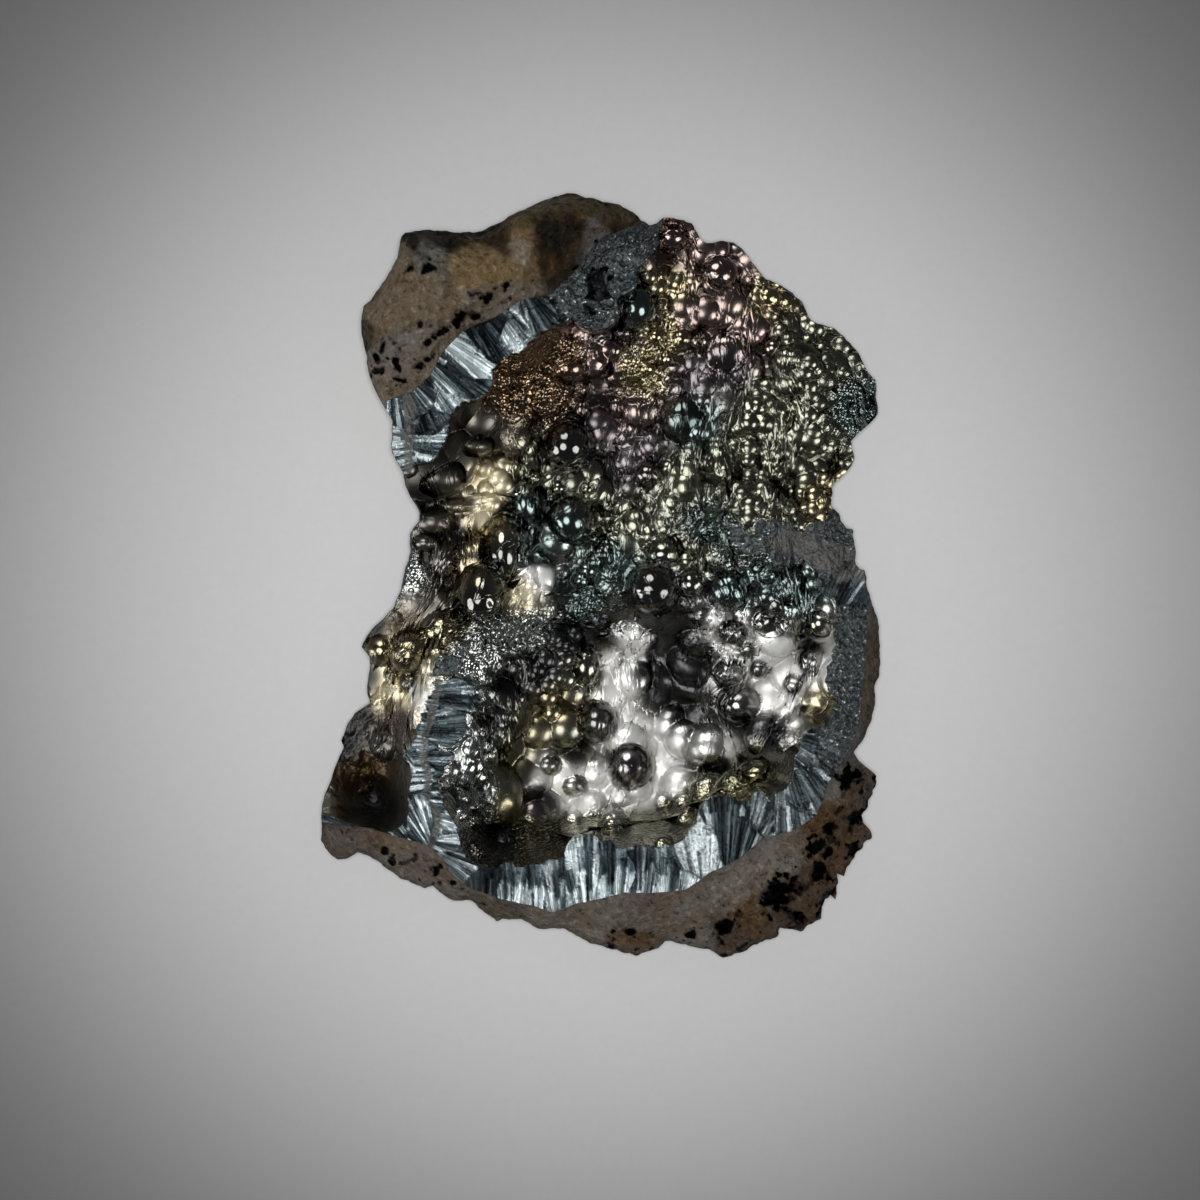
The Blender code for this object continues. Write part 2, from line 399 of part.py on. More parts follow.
def make_crust():
    """The crust: the skin and its broken edges above, the side that grew on the rock below."""
    bm = bmesh.new()
    top_rim = add_sheet(bm, CELLS, crust_top)
    under_rim = add_sheet(bm, (CELLS[0] // 2, CELLS[1] // 2), crust_under)
    lace(bm, top_rim, under_rim)
    finish(bm, "goethite_crust", principled("goethite", CRUST_COLOUR, 0.22, 0.85))


def rim_turns():
    """Share of the way round of each corner on the rim of the crust's sheet, in order."""
    u, v = np.meshgrid(np.linspace(-1.0, 1.0, CELLS[0] + 1), np.linspace(-1.0, 1.0, CELLS[1] + 1))
    ring, turn = square_to_rings(u.ravel(), v.ravel())
    return np.sort(turn[ring > ON_RIM])


def side_hollows(angle, share):
    """Depth of the hollows in the rock's side: waves round it, faded out at the edge and at the foot."""
    depth = 0.0
    for waves, half_depth in SIDE_WAVES:
        depth = depth + half_depth * (1.0 + np.sin(waves * angle + waves + SIDE_DRIFT * share))
    return depth * 4.0 * share * (1.0 - share)


def make_matrix():
    """The rock: the pocket under the crust, its broken rim, its rough side and the flat it lies on."""
    bm = bmesh.new()
    last = add_sheet(bm, (CELLS[0] // 2, CELLS[1] // 2), pocket)
    angle = angle_of_turn(rim_turns())
    inner = ring_radius(CONTACT_RADIUS, angle) + FIT_GAP
    outer = ring_radius(OUTLINE_RADIUS, angle)
    for step in RING_STEPS:
        radius = inner + step * (outer - inner)
        ring = add_ring(bm, radius, angle, face_height(*on_bearing(radius, angle)))
        lace(bm, ring, last)
        last = ring
    edge_height = face_height(*on_bearing(outer, angle))
    for share, drawn_in in SIDE_PROFILE:
        radius = share * outer + (1.0 - share) * ring_radius(BACK_RADIUS, angle)
        radius = np.minimum(radius, outer) - drawn_in - side_hollows(angle, share)
        ring = add_ring(bm, radius, angle, share * edge_height)
        lace(bm, ring, last)
        last = ring
    middle = bm.verts.new((0.0, 0.0, 0.0))
    for i, here in enumerate(last):
        bm.faces.new((here, last[i - 1], middle))
    finish(bm, "limonite_matrix", principled("limonite", ROCK_COLOUR, 0.85, 0.0))


for old in list(bpy.data.objects):
    bpy.data.objects.remove(old, do_unlink=True)
make_matrix()
make_crust()
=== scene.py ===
"""A goethite specimen on its back, hollows up: a crust of goethite that lines a limonite rock.

X runs across the face, Y up the face and Z out of it. Tables of places are in millimetres in that frame,
and every mesh is written in metres.
"""
import math

import bpy
import numpy as np
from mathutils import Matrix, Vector


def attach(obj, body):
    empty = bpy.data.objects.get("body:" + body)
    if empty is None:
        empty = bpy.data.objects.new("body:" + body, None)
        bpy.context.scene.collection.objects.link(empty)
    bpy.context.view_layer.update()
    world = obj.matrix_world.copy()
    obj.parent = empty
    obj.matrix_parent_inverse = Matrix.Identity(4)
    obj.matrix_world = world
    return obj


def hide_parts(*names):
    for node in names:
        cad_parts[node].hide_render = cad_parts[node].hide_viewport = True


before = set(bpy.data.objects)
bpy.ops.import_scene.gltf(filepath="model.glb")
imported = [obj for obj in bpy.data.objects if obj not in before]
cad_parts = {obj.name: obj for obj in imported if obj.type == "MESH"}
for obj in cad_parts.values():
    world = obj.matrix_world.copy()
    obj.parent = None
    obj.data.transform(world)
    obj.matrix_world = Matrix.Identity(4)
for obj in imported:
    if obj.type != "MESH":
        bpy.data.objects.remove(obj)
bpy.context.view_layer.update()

# The goethite crust. Fibres grew side by side out of the walls of a cavity and ended together in a
# mirror-black skin of round lobes. The specimen was broken out of the vein, so its high edges show the
# fibres end on as steel-blue blades, and the skin is left in the hollows.

MM = 0.001
SOFTNESS = 1.6          # rounding of the relief round each spot height
RAGGED_DEPTH = 7.0      # power by which the ragged border dies away towards the middle
SMOOTH_WAVES = 6        # waves kept round the border when it is smoothed
SKIN_TO_EDGE = 0.15     # rock left outside the crust where the skin runs out to the edge
GLOBE_FULLNESS = 0.95   # a round lobe's height over its own half-width
GLOBE_STANDS = 1.25     # how much further the bare lobes stand out than their measured rise
GLOBE_SINKS = 0.75      # and how much less the small or pimpled ones do
PIMPLED_FROM, SMALL_TO = 0.15, 1.7      # least pimpling and greatest half-width of those
CRUST_LINES = (500, 600)    # lines across and up the crust's sheet, one every seventh of a millimetre

# Border of the specimen as seen from in front, anticlockwise from the middle of the right side
OUTLINE = np.array([
    (34.8, -1.4), (34.4, 0.9), (33.8, 0.9), (33.3, 1.8), (33.3, 3.0), (33.0, 4.2), (32.8, 6.2),
    (32.1, 6.3), (31.3, 7.3), (30.1, 9.1), (30.6, 11.0), (30.4, 12.1), (31.2, 12.7), (32.7, 14.5),
    (33.1, 15.8), (32.7, 17.7), (33.4, 18.5), (35.5, 20.3), (36.3, 21.3), (36.0, 23.5), (36.1, 24.7),
    (36.0, 25.7), (34.6, 27.2), (33.6, 29.3), (32.6, 30.4), (30.4, 32.3), (29.0, 32.5), (27.2, 33.6),
    (26.2, 35.9), (24.4, 36.9), (22.4, 38.4), (21.5, 38.8), (20.2, 40.6), (19.5, 41.0), (18.2, 42.8),
    (17.6, 43.6), (15.6, 43.8), (14.5, 43.4), (13.4, 43.4), (12.4, 45.0), (11.9, 45.8), (9.5, 46.3),
    (8.2, 46.5), (7.4, 45.8), (6.4, 45.6), (4.8, 47.0), (2.4, 48.2), (0.0, 48.8), (-2.8, 49.4),
    (-4.0, 49.6), (-5.2, 49.4), (-7.2, 48.4), (-8.4, 48.1), (-10.4, 47.1), (-12.2, 46.0), (-14.2, 45.1),
    (-16.4, 44.4), (-18.8, 44.5), (-21.6, 44.7), (-24.4, 44.6), (-25.2, 44.4), (-25.5, 43.8),
    (-26.3, 41.2), (-27.0, 40.2), (-27.3, 39.2), (-27.8, 38.3), (-28.8, 37.2), (-30.4, 35.2),
    (-30.8, 33.9), (-30.9, 31.5), (-30.1, 28.5), (-29.6, 25.8), (-28.9, 23.8), (-27.0, 20.4),
    (-27.1, 17.5), (-26.9, 16.0), (-25.5, 13.6), (-24.9, 11.2), (-23.6, 8.7), (-23.6, 7.3), (-24.8, 5.6),
    (-24.5, 3.3), (-25.3, 0.8), (-25.9, -1.9), (-27.2, -4.3), (-29.0, -6.2), (-30.8, -8.0),
    (-31.2, -9.1), (-30.1, -10.3), (-30.0, -11.5), (-30.4, -14.4), (-29.9, -16.4), (-32.0, -17.8),
    (-33.1, -19.2), (-33.9, -21.4), (-33.6, -22.3), (-34.9, -26.2), (-35.8, -28.3), (-36.2, -32.4),
    (-36.3, -34.2), (-36.0, -35.4), (-34.2, -36.8), (-33.0, -36.7), (-31.6, -35.9), (-29.8, -36.4),
    (-28.6, -37.4), (-27.4, -38.4), (-26.2, -39.3), (-25.0, -39.5), (-22.9, -40.7), (-21.8, -40.3),
    (-20.2, -41.6), (-18.9, -42.2), (-16.8, -42.2), (-15.2, -43.9), (-13.5, -45.0), (-12.7, -44.5),
    (-10.2, -44.4), (-8.2, -45.7), (-7.2, -46.0), (-6.0, -45.8), (-4.8, -45.9), (-2.4, -47.2),
    (0.5, -48.0), (3.5, -49.2), (4.8, -49.4), (7.6, -48.6), (8.5, -47.5), (9.5, -47.4), (12.0, -48.0),
    (14.0, -48.4), (15.0, -49.0), (16.0, -49.7), (17.0, -49.5), (19.0, -48.8), (20.0, -48.0),
    (22.3, -47.3), (23.2, -46.7), (23.4, -45.7), (25.4, -46.0), (26.6, -45.9), (28.8, -44.4),
    (29.2, -43.2), (29.6, -42.3), (30.9, -42.4), (30.2, -41.6), (30.9, -38.7), (31.9, -39.2),
    (33.2, -37.4), (33.9, -36.2), (35.3, -34.2), (35.2, -33.0), (34.1, -31.8), (34.0, -31.0),
    (35.0, -30.0), (35.6, -28.0), (36.0, -26.8), (35.7, -25.6), (34.0, -24.2), (33.2, -23.0),
    (34.5, -21.0), (35.6, -18.7), (35.8, -16.0), (36.3, -11.5), (36.4, -9.5), (36.1, -5.6),
    (35.4, -3.4)])

# Where the crust ends and the brown rock begins on the broken face, anticlockwise from the right side
CONTACT = np.array([
    (34.4, -2.0), (33.8, 3.0), (33.0, 8.0), (40.0, 30.0), (10.0, 48.0), (5.2, 45.6), (0.0, 43.2),
    (-2.6, 39.9), (-6.2, 36.2), (-10.0, 35.4), (-13.6, 33.2), (-17.4, 31.6), (-20.4, 28.4),
    (-21.6, 26.0), (-24.0, 23.8), (-27.4, 22.6), (-32.0, 14.0), (-30.0, 0.0), (-38.0, -20.0),
    (-38.0, -30.0), (-36.0, -31.8), (-30.0, -32.4), (-25.5, -33.7), (-22.5, -34.4), (-20.3, -36.2),
    (-19.3, -38.2), (-17.0, -40.2), (-12.0, -41.7), (-8.5, -42.4), (-6.0, -43.3), (-3.0, -42.1),
    (3.0, -40.6), (11.0, -40.3), (14.0, -38.2), (18.0, -36.2), (21.0, -33.6), (25.0, -32.7),
    (28.0, -30.6), (29.4, -26.6), (31.6, -23.4), (33.0, -20.6), (34.0, -14.0), (34.5, -8.0)])

# Spot heights of the skin, out to where it would stand beyond the break
SKIN = np.array([
    # hills at the top and the upper right
    (10.0, 45.5, 23.0), (16.5, 43.5, 20.5), (21.0, 39.5, 20.5), (27.0, 35.0, 19.0), (34.0, 28.5, 17.5),
    (36.0, 23.0, 16.5), (32.5, 15.5, 17.5), (30.5, 10.0, 19.0), (8.0, 40.0, 25.0), (12.0, 36.0, 24.6),
    (14.0, 41.0, 23.8), (18.0, 36.0, 23.0), (18.0, 31.0, 21.6), (23.0, 33.5, 21.4), (26.0, 29.0, 23.4),
    (30.0, 29.5, 21.0), (33.0, 24.0, 19.5), (22.0, 25.0, 22.0), (27.0, 21.0, 22.0), (31.0, 19.5, 19.5),
    (14.0, 27.0, 21.0), (8.0, 34.0, 23.4), (8.0, 28.5, 22.6), (4.0, 29.0, 22.4), (8.0, 24.0, 19.2),
    (0.0, 33.0, 23.8), (5.5, 41.0, 25.8), (5.0, 37.5, 25.0), (11.5, 20.7, 20.4), (16.0, 20.0, 19.8),
    (20.0, 21.5, 21.4), (25.0, 15.0, 20.6), (20.0, 14.0, 19.8), (15.0, 15.5, 20.2), (15.0, 9.5, 18.0),
    (22.0, 10.0, 20.2), (28.0, 12.0, 20.0), (9.0, 12.0, 17.6), (3.0, 19.0, 18.4), (3.0, 12.0, 17.6),
    # coppery slope under the broken edge at the upper left
    (-4.6, 31.5, 25.2), (-7.6, 28.0, 24.8), (-12.5, 25.6, 24.4), (-14.0, 22.2, 23.8), (-16.4, 18.6, 24.0),
    (-19.0, 15.4, 24.6), (-2.0, 28.5, 22.6), (-6.0, 25.0, 21.4), (-10.5, 21.5, 20.8), (0.0, 25.0, 20.6),
    (-2.0, 21.0, 19.0), (-8.0, 19.5, 19.4),
    # dull lobes down the left side
    (-14.0, 18.0, 20.8), (-17.0, 13.0, 21.4), (-22.0, 11.0, 22.2), (-24.0, 7.0, 21.2), (-21.0, 5.0, 21.0),
    (-17.4, 7.0, 18.8), (-14.0, 12.0, 19.6), (-18.2, 1.5, 18.6), (-22.0, 0.0, 21.0), (-25.0, -2.0, 20.2),
    (-20.5, -4.5, 21.4),
    # middle, down to the edge of the deep hollow
    (-3.0, 13.0, 17.6), (-8.0, 9.0, 17.2), (-5.0, 4.0, 16.6), (2.0, 6.0, 16.8), (8.0, 6.0, 17.4),
    (-10.0, -1.0, 16.4), (-3.0, -1.0, 15.6), (4.0, 0.5, 17.2), (10.0, 0.0, 18.2), (14.5, 3.5, 20.6),
    (16.0, -1.0, 19.6), (20.0, 1.0, 20.6), (22.0, -3.5, 18.8), (26.0, -4.0, 19.4),
    (-5.0, -5.0, 16.6), (2.0, -5.5, 14.6), (7.0, -4.6, 15.6), (12.0, -5.0, 15.6), (17.0, -5.4, 16.2),
    (21.5, -8.6, 15.6), (26.0, -8.6, 16.6),
    # floor of the deep hollow
    (-2.5, -10.0, 12.6), (4.0, -9.0, 11.0), (10.0, -9.0, 10.4), (15.0, -10.0, 11.8), (20.0, -12.5, 13.2),
    (25.0, -12.0, 15.0), (28.4, -9.5, 18.0), (28.0, -15.0, 18.2), (23.0, -16.5, 14.6), (0.0, -15.0, 10.6),
    (6.0, -14.0, 9.8), (11.0, -14.5, 9.6), (16.0, -15.5, 10.8), (19.5, -18.5, 12.8), (-5.0, -16.5, 12.0),
    (-4.5, -22.5, 10.8), (0.5, -23.0, 9.8), (6.0, -21.0, 9.4), (10.5, -19.0, 9.6), (14.0, -24.0, 10.6),
    (-7.0, -27.5, 11.2), (-2.0, -28.0, 10.2), (4.0, -28.0, 10.8), (9.0, -27.0, 11.6), (18.0, -22.5, 13.6),
    (21.5, -20.5, 16.8),
    # steep wall below the fibres at the bottom
    (-12.0, -30.0, 13.4), (-8.0, -32.0, 12.4), (-3.0, -31.8, 11.8), (3.0, -30.8, 12.2), (8.0, -29.8, 13.0),
    (12.0, -28.4, 13.8), (16.0, -26.6, 15.2), (20.0, -25.0, 17.4), (-12.0, -34.6, 18.0),
    (-6.0, -34.0, 17.4), (0.0, -32.8, 17.6), (6.0, -32.3, 18.4), (11.0, -30.6, 19.0), (16.0, -28.2, 20.0),
    # sparkling slope to the right of the thin wall
    (-16.5, -31.5, 19.6), (-16.0, -27.0, 19.4), (-12.5, -25.0, 14.8), (-16.0, -21.0, 20.6),
    (-12.0, -18.0, 16.8), (-15.5, -13.0, 21.4), (-10.0, -10.5, 17.8), (-6.0, -8.6, 15.6),
    (-9.0, -21.5, 13.4), (-9.5, -15.0, 15.8),
    # crest of the thin wall, which the break cuts off
    (-7.0, -3.6, 17.6), (-11.7, -5.2, 23.4), (-15.2, -7.0, 26.2), (-18.4, -9.4, 27.7), (-20.9, -12.5, 28.9),
    (-21.6, -17.0, 30.0), (-22.4, -21.5, 30.4), (-22.3, -26.0, 30.6), (-21.3, -30.5, 32.0),
    (-20.6, -34.0, 32.5), (-18.9, -13.5, 26.6), (-19.4, -20.0, 26.8), (-19.6, -26.0, 26.8),
    (-17.6, -32.0, 26.2), (-24.4, -18.0, 26.4), (-24.8, -23.0, 26.4), (-24.8, -28.5, 26.4),
    # left wing: lobes, then the dark broken pocket
    (-28.0, -6.6, 20.6), (-30.5, -9.5, 18.0), (-26.5, -9.5, 21.0), (-23.0, -7.5, 22.4), (-19.6, -6.2, 23.0),
    (-26.0, -13.5, 19.8), (-29.6, -14.5, 17.6), (-27.4, -17.5, 18.6), (-23.8, -12.5, 23.2),
    (-31.5, -18.5, 16.6), (-33.5, -22.5, 15.4), (-29.5, -22.0, 17.4), (-27.0, -22.5, 19.0),
    (-31.0, -26.0, 14.6), (-28.0, -27.0, 14.8), (-27.5, -30.5, 15.8), (-31.0, -30.0, 13.8),
    (-34.6, -28.5, 18.4), (-31.0, -32.4, 22.4), (-26.0, -31.5, 23.0), (-36.0, -32.0, 23.0),
    # skin edge along the broken faces: upper left, bottom, then right
    (-5.6, 33.4, 29.4), (-7.6, 30.8, 30.4), (-9.6, 28.6, 30.4), (-12.6, 27.8, 28.8), (-14.9, 26.6, 30.0),
    (-16.0, 23.0, 29.4), (-18.2, 20.2, 28.8), (-20.4, 18.2, 28.2), (-21.2, 15.4, 27.8),
    (-15.6, -36.4, 25.4), (-12.0, -37.0, 25.4), (-9.0, -36.5, 26.2), (-4.5, -35.4, 26.2), (0.0, -34.3, 26.2),
    (5.0, -34.0, 26.2), (9.8, -33.8, 26.2), (12.5, -31.6, 26.0), (16.5, -29.6, 25.6), (20.5, -28.2, 25.4),
    (23.4, -26.4, 25.0), (24.0, -22.6, 24.8), (27.0, -20.2, 24.4), (30.4, -17.8, 24.0), (30.2, -12.0, 23.8),
    (30.4, -6.0, 24.0), (28.6, -2.4, 24.2), (25.4, 1.0, 24.4), (20.0, 3.6, 24.0), (15.0, 5.4, 23.0),
    (20.0, 8.2, 23.6), (26.0, 8.0, 24.0),
    # beyond the break, where the skin has gone
    (-1.0, 38.5, 32.2), (-9.0, 33.5, 36.0), (-14.0, 31.0, 36.0), (-19.5, 26.0, 36.0), (-24.0, 19.5, 36.0),
    (-25.5, 15.5, 32.0), (2.0, 42.5, 32.0), (-8.0, -41.0, 38.0), (5.0, -39.0, 38.0), (15.0, -36.0, 36.0),
    (25.0, -31.0, 36.0), (30.0, -24.0, 34.0), (34.0, -14.0, 32.0), (34.0, -4.0, 32.0), (31.0, 3.0, 32.0),
    (21.0, 6.2, 29.0), (-15.0, -41.0, 36.0), (-26.0, -36.0, 34.0), (-35.0, -35.0, 34.0),
    (0.0, -46.0, 44.0), (20.0, -44.0, 44.0), (-25.0, 36.0, 46.0), (-5.0, 46.0, 44.0)])

# Spot heights of the break, which cuts crust and rock alike, and of the rock's own worn face
BREAK = np.array([
    # brown face at the upper left and its edges
    (-28.0, 33.0, 31.0), (-25.0, 40.5, 32.4), (-20.0, 36.0, 33.0), (-19.0, 41.8, 32.4), (-14.0, 38.5, 33.2),
    (-24.0, 28.0, 31.0), (-26.8, 25.0, 29.4), (-9.5, 42.0, 34.0), (-4.5, 45.8, 32.6), (1.5, 45.6, 30.0),
    (-9.5, 45.8, 32.4), (0.0, 41.5, 28.6), (-3.0, 37.5, 29.2), (3.6, 39.5, 27.8), (-18.0, 43.6, 29.6),
    (-24.0, 43.6, 29.4), (-31.0, 32.0, 26.4), (-28.4, 38.5, 27.6), (-26.0, 44.8, 26.0), (-16.0, 45.2, 25.4),
    (-8.0, 48.6, 25.4), (-3.0, 50.0, 24.0), (4.0, 48.2, 23.0), (7.0, 46.2, 23.4), (-28.4, 20.5, 25.4),
    # fibres at the upper left
    (-7.8, 33.2, 30.6), (-10.4, 31.4, 31.0), (-14.4, 30.2, 27.4), (-13.6, 28.6, 27.6), (-17.4, 28.2, 30.4),
    (-18.6, 23.6, 30.0), (-21.6, 21.0, 27.2), (-24.4, 18.0, 28.6), (-23.4, 15.4, 28.0), (-27.0, 15.8, 25.6),
    # high over the skin where it runs out to the border
    (-27.0, 8.0, 32.0), (-28.0, -2.0, 32.0), (-33.0, -10.0, 30.0), (-33.0, -18.0, 28.0), (11.0, 47.5, 38.0),
    (20.0, 42.0, 42.0), (30.0, 34.0, 42.0), (37.0, 24.0, 38.0), (33.0, 13.0, 34.0), (10.0, 25.0, 40.0),
    (22.0, 18.0, 36.0), (-10.0, 12.0, 34.0), (5.0, -15.0, 30.0),
    # flat patch and rim down the right side
    (20.0, 6.4, 26.8), (15.0, 6.4, 26.2), (25.0, 4.0, 25.0), (29.0, 2.4, 25.2), (33.0, 4.0, 23.4),
    (31.8, 7.2, 22.6),
    (34.6, -1.0, 22.2), (31.4, -4.0, 24.4), (32.2, -10.0, 24.0), (36.4, -10.0, 20.6), (32.0, -16.0, 24.4),
    (36.0, -18.0, 20.4), (27.0, -24.0, 25.4), (31.0, -22.0, 24.6), (33.0, -23.0, 22.0),
    # rim of rock at the lower right and along the bottom
    (31.0, -29.0, 24.6), (36.0, -27.0, 19.4), (35.0, -34.0, 19.0), (25.0, -33.0, 25.6), (28.0, -38.0, 23.6),
    (31.0, -42.0, 17.6), (21.0, -38.0, 25.4), (20.0, -43.0, 23.4), (26.0, -45.8, 17.6), (16.0, -49.6, 16.8),
    (13.0, -42.5, 24.6), (9.0, -47.4, 18.6), (4.0, -49.2, 16.6), (3.0, -44.0, 24.6), (-5.0, -46.0, 17.8),
    (-7.0, -44.2, 22.6), (-13.5, -45.0, 16.6), (-13.0, -42.8, 22.6), (-20.0, -42.0, 16.8),
    (-20.5, -38.6, 23.4), (-27.0, -38.6, 16.6), (-26.0, -35.8, 23.4), (-31.0, -34.2, 22.0),
    (-35.6, -36.0, 15.6), (-35.8, -32.6, 19.0), (-30.0, -32.6, 22.4),
    # fibres along the bottom and on the thin wall
    (10.0, -36.5, 26.4), (15.0, -33.6, 26.2), (20.0, -31.0, 25.8), (0.0, -37.6, 26.6), (-8.0, -39.6, 26.4),
    (-13.0, -39.0, 25.2), (-18.4, -36.6, 26.6), (-21.6, -31.0, 28.0), (-22.5, -24.0, 28.0),
    (-21.8, -17.0, 28.0), (-19.6, -11.0, 27.6), (-15.6, -7.6, 26.2), (-11.6, -5.4, 23.4),
    (-24.6, -31.6, 25.4)])

# Round lobes that stand out of the skin: place, half-width across, half-width up, rise, and how far
# smaller bubbles cover it, from 0 for a bare mirror ball to 1
GLOBES = np.array([
    # mirror balls in the middle and at the left
    (-4.2, 17.2, 3.3, 3.4, 3.0, 0.0), (-3.8, 7.6, 3.2, 3.5, 3.0, 0.1), (-12.5, 3.4, 3.4, 5.2, 4.6, 0.0),
    (-15.3, -2.4, 3.4, 4.6, 3.6, 0.0), (-12.3, 7.1, 2.3, 1.9, 1.4, 0.0), (-9.6, 9.9, 1.9, 3.0, 1.7, 0.1),
    (7.0, -1.4, 3.6, 3.5, 2.8, 0.1), (8.3, 3.2, 2.8, 2.4, 1.6, 0.3), (16.9, -1.6, 2.8, 3.0, 2.6, 0.2),
    (11.9, -0.8, 1.9, 2.0, 1.6, 0.1), (6.2, 13.4, 1.9, 1.8, 1.0, 0.0), (-1.7, 11.5, 1.1, 1.0, 0.7, 0.0),
    (1.1, 9.1, 1.1, 1.0, 0.7, 0.0), (1.6, 6.4, 1.2, 0.9, 0.6, 0.0), (-0.4, 5.0, 1.1, 0.9, 0.6, 0.0),
    (-5.4, 11.6, 1.1, 1.1, 0.7, 0.0), (-6.3, 10.2, 1.0, 0.9, 0.6, 0.0), (-8.5, 12.9, 1.2, 1.2, 0.8, 0.0),
    # row of lobes that climbs to the right through the middle
    (-2.5, -0.4, 1.3, 1.3, 0.9, 0.0), (-1.6, 0.9, 1.4, 1.3, 1.1, 0.0), (-0.7, 2.0, 1.4, 1.3, 1.2, 0.0),
    (0.3, 3.0, 1.4, 1.3, 1.2, 0.0), (1.3, 4.1, 1.5, 1.4, 1.1, 0.0),
    # right of the deep hollow
    (22.2, -5.9, 2.5, 2.3, 2.2, 0.3), (17.3, -7.1, 2.1, 1.9, 1.6, 0.0), (17.0, -12.5, 2.4, 2.0, 1.8, 0.1),
    (18.4, -16.6, 3.1, 2.8, 2.3, 0.1), (27.7, -10.9, 2.2, 2.2, 1.9, 0.0), (28.7, -5.9, 2.0, 2.0, 1.6, 0.1),
    (19.4, -9.3, 1.7, 1.5, 0.9, 0.0), (20.9, -11.9, 1.5, 1.4, 1.1, 0.0), (25.6, -14.0, 1.9, 1.6, 1.0, 0.2),
    # floor of the deep hollow
    (14.6, -22.3, 4.4, 3.8, 2.2, 0.5), (4.0, -24.8, 3.2, 3.3, 2.4, 0.0), (-0.4, -19.0, 2.7, 3.0, 2.8, 0.0),
    (-1.9, -11.6, 2.0, 2.7, 1.6, 0.0), (-6.8, -24.6, 1.8, 1.6, 0.9, 0.2), (-3.4, -27.2, 2.2, 1.8, 1.0, 0.3),
    # top and upper right
    (4.6, 35.0, 2.6, 3.1, 2.4, 0.0), (15.4, 39.3, 2.7, 2.5, 2.2, 0.2), (9.2, 44.0, 2.4, 2.0, 1.6, 0.1),
    (23.2, 36.0, 2.2, 2.0, 1.4, 0.4), (11.0, 20.8, 3.3, 3.4, 2.2, 0.7), (19.7, 21.2, 2.8, 2.9, 2.2, 0.6),
    (25.4, 27.8, 3.6, 3.2, 2.0, 0.9), (15.6, 15.0, 3.4, 3.2, 1.8, 0.8), (16.6, 29.4, 4.4, 3.8, 1.6, 0.3),
    (10.6, 30.9, 1.6, 1.5, 1.1, 0.1), (13.0, 30.7, 1.4, 1.4, 1.0, 0.1), (-4.0, 27.2, 3.0, 2.4, 1.4, 0.2),
    (1.0, 29.6, 2.6, 2.2, 1.2, 0.3), (5.0, 23.6, 2.8, 2.4, 1.2, 0.6), (27.0, 20.2, 3.0, 2.8, 1.4, 1.0),
    (30.6, 26.0, 2.6, 3.0, 1.2, 1.0), (20.6, 36.4, 2.6, 2.4, 1.2, 0.6), (22.8, 15.2, 2.8, 2.6, 1.4, 1.0),
    (-3.2, 35.4, 1.1, 1.1, 0.9, 0.0), (8.3, 28.4, 1.4, 1.3, 0.9, 0.0), (6.1, 27.1, 1.1, 1.1, 0.7, 0.0),
    (2.2, 22.4, 1.2, 1.6, 0.9, 0.0), (-2.4, 21.9, 1.1, 1.4, 0.8, 0.0), (22.4, 29.8, 1.3, 1.3, 0.9, 0.2),
    (2.0, 26.0, 1.5, 1.3, 0.9, 0.0), (7.2, 31.2, 1.2, 1.2, 0.8, 0.0), (3.0, 31.6, 1.3, 1.1, 0.8, 0.0),
    # left side and left wing
    (-24.4, -9.8, 3.0, 2.8, 1.8, 0.0), (-28.2, -9.4, 2.4, 2.2, 1.4, 0.0), (-20.4, -6.8, 2.8, 2.4, 1.4, 0.1),
    (-21.4, 7.2, 3.0, 2.2, 1.2, 0.0), (-20.6, 2.2, 2.6, 2.6, 1.0, 0.1), (-20.8, 13.0, 3.6, 2.8, 1.2, 0.0),
    (-16.6, 17.0, 3.0, 1.6, 0.9, 0.0), (-19.4, 9.2, 2.6, 1.5, 0.8, 0.0), (-22.6, 4.4, 1.8, 1.2, 0.7, 0.0),
    (-27.4, -21.8, 2.6, 2.2, 1.6, 0.0), (-24.6, -13.6, 1.5, 1.5, 0.9, 0.0),
    (-26.8, -12.6, 1.3, 1.2, 0.7, 0.0),
    # ledge under the right rim
    (20.6, -25.6, 3.0, 2.0, 1.6, 0.2)])


def spot_surface(spots, x, y):
    """Height of the smooth surface through spot heights: a sum of cones, each rounded at its tip."""
    def cone(at_x, at_y, px, py):
        return np.sqrt((px - at_x) ** 2 + (py - at_y) ** 2 + SOFTNESS ** 2)
    mean = spots[:, 2].mean()
    between = cone(spots[:, 0], spots[:, 1], spots[:, :1], spots[:, 1:2])
    weights = np.linalg.solve(between, spots[:, 2] - mean)
    height = np.full(np.shape(x), mean)
    for (at_x, at_y, _), weight in zip(spots, weights):
        height = height + weight * cone(at_x, at_y, x, y)
    return height


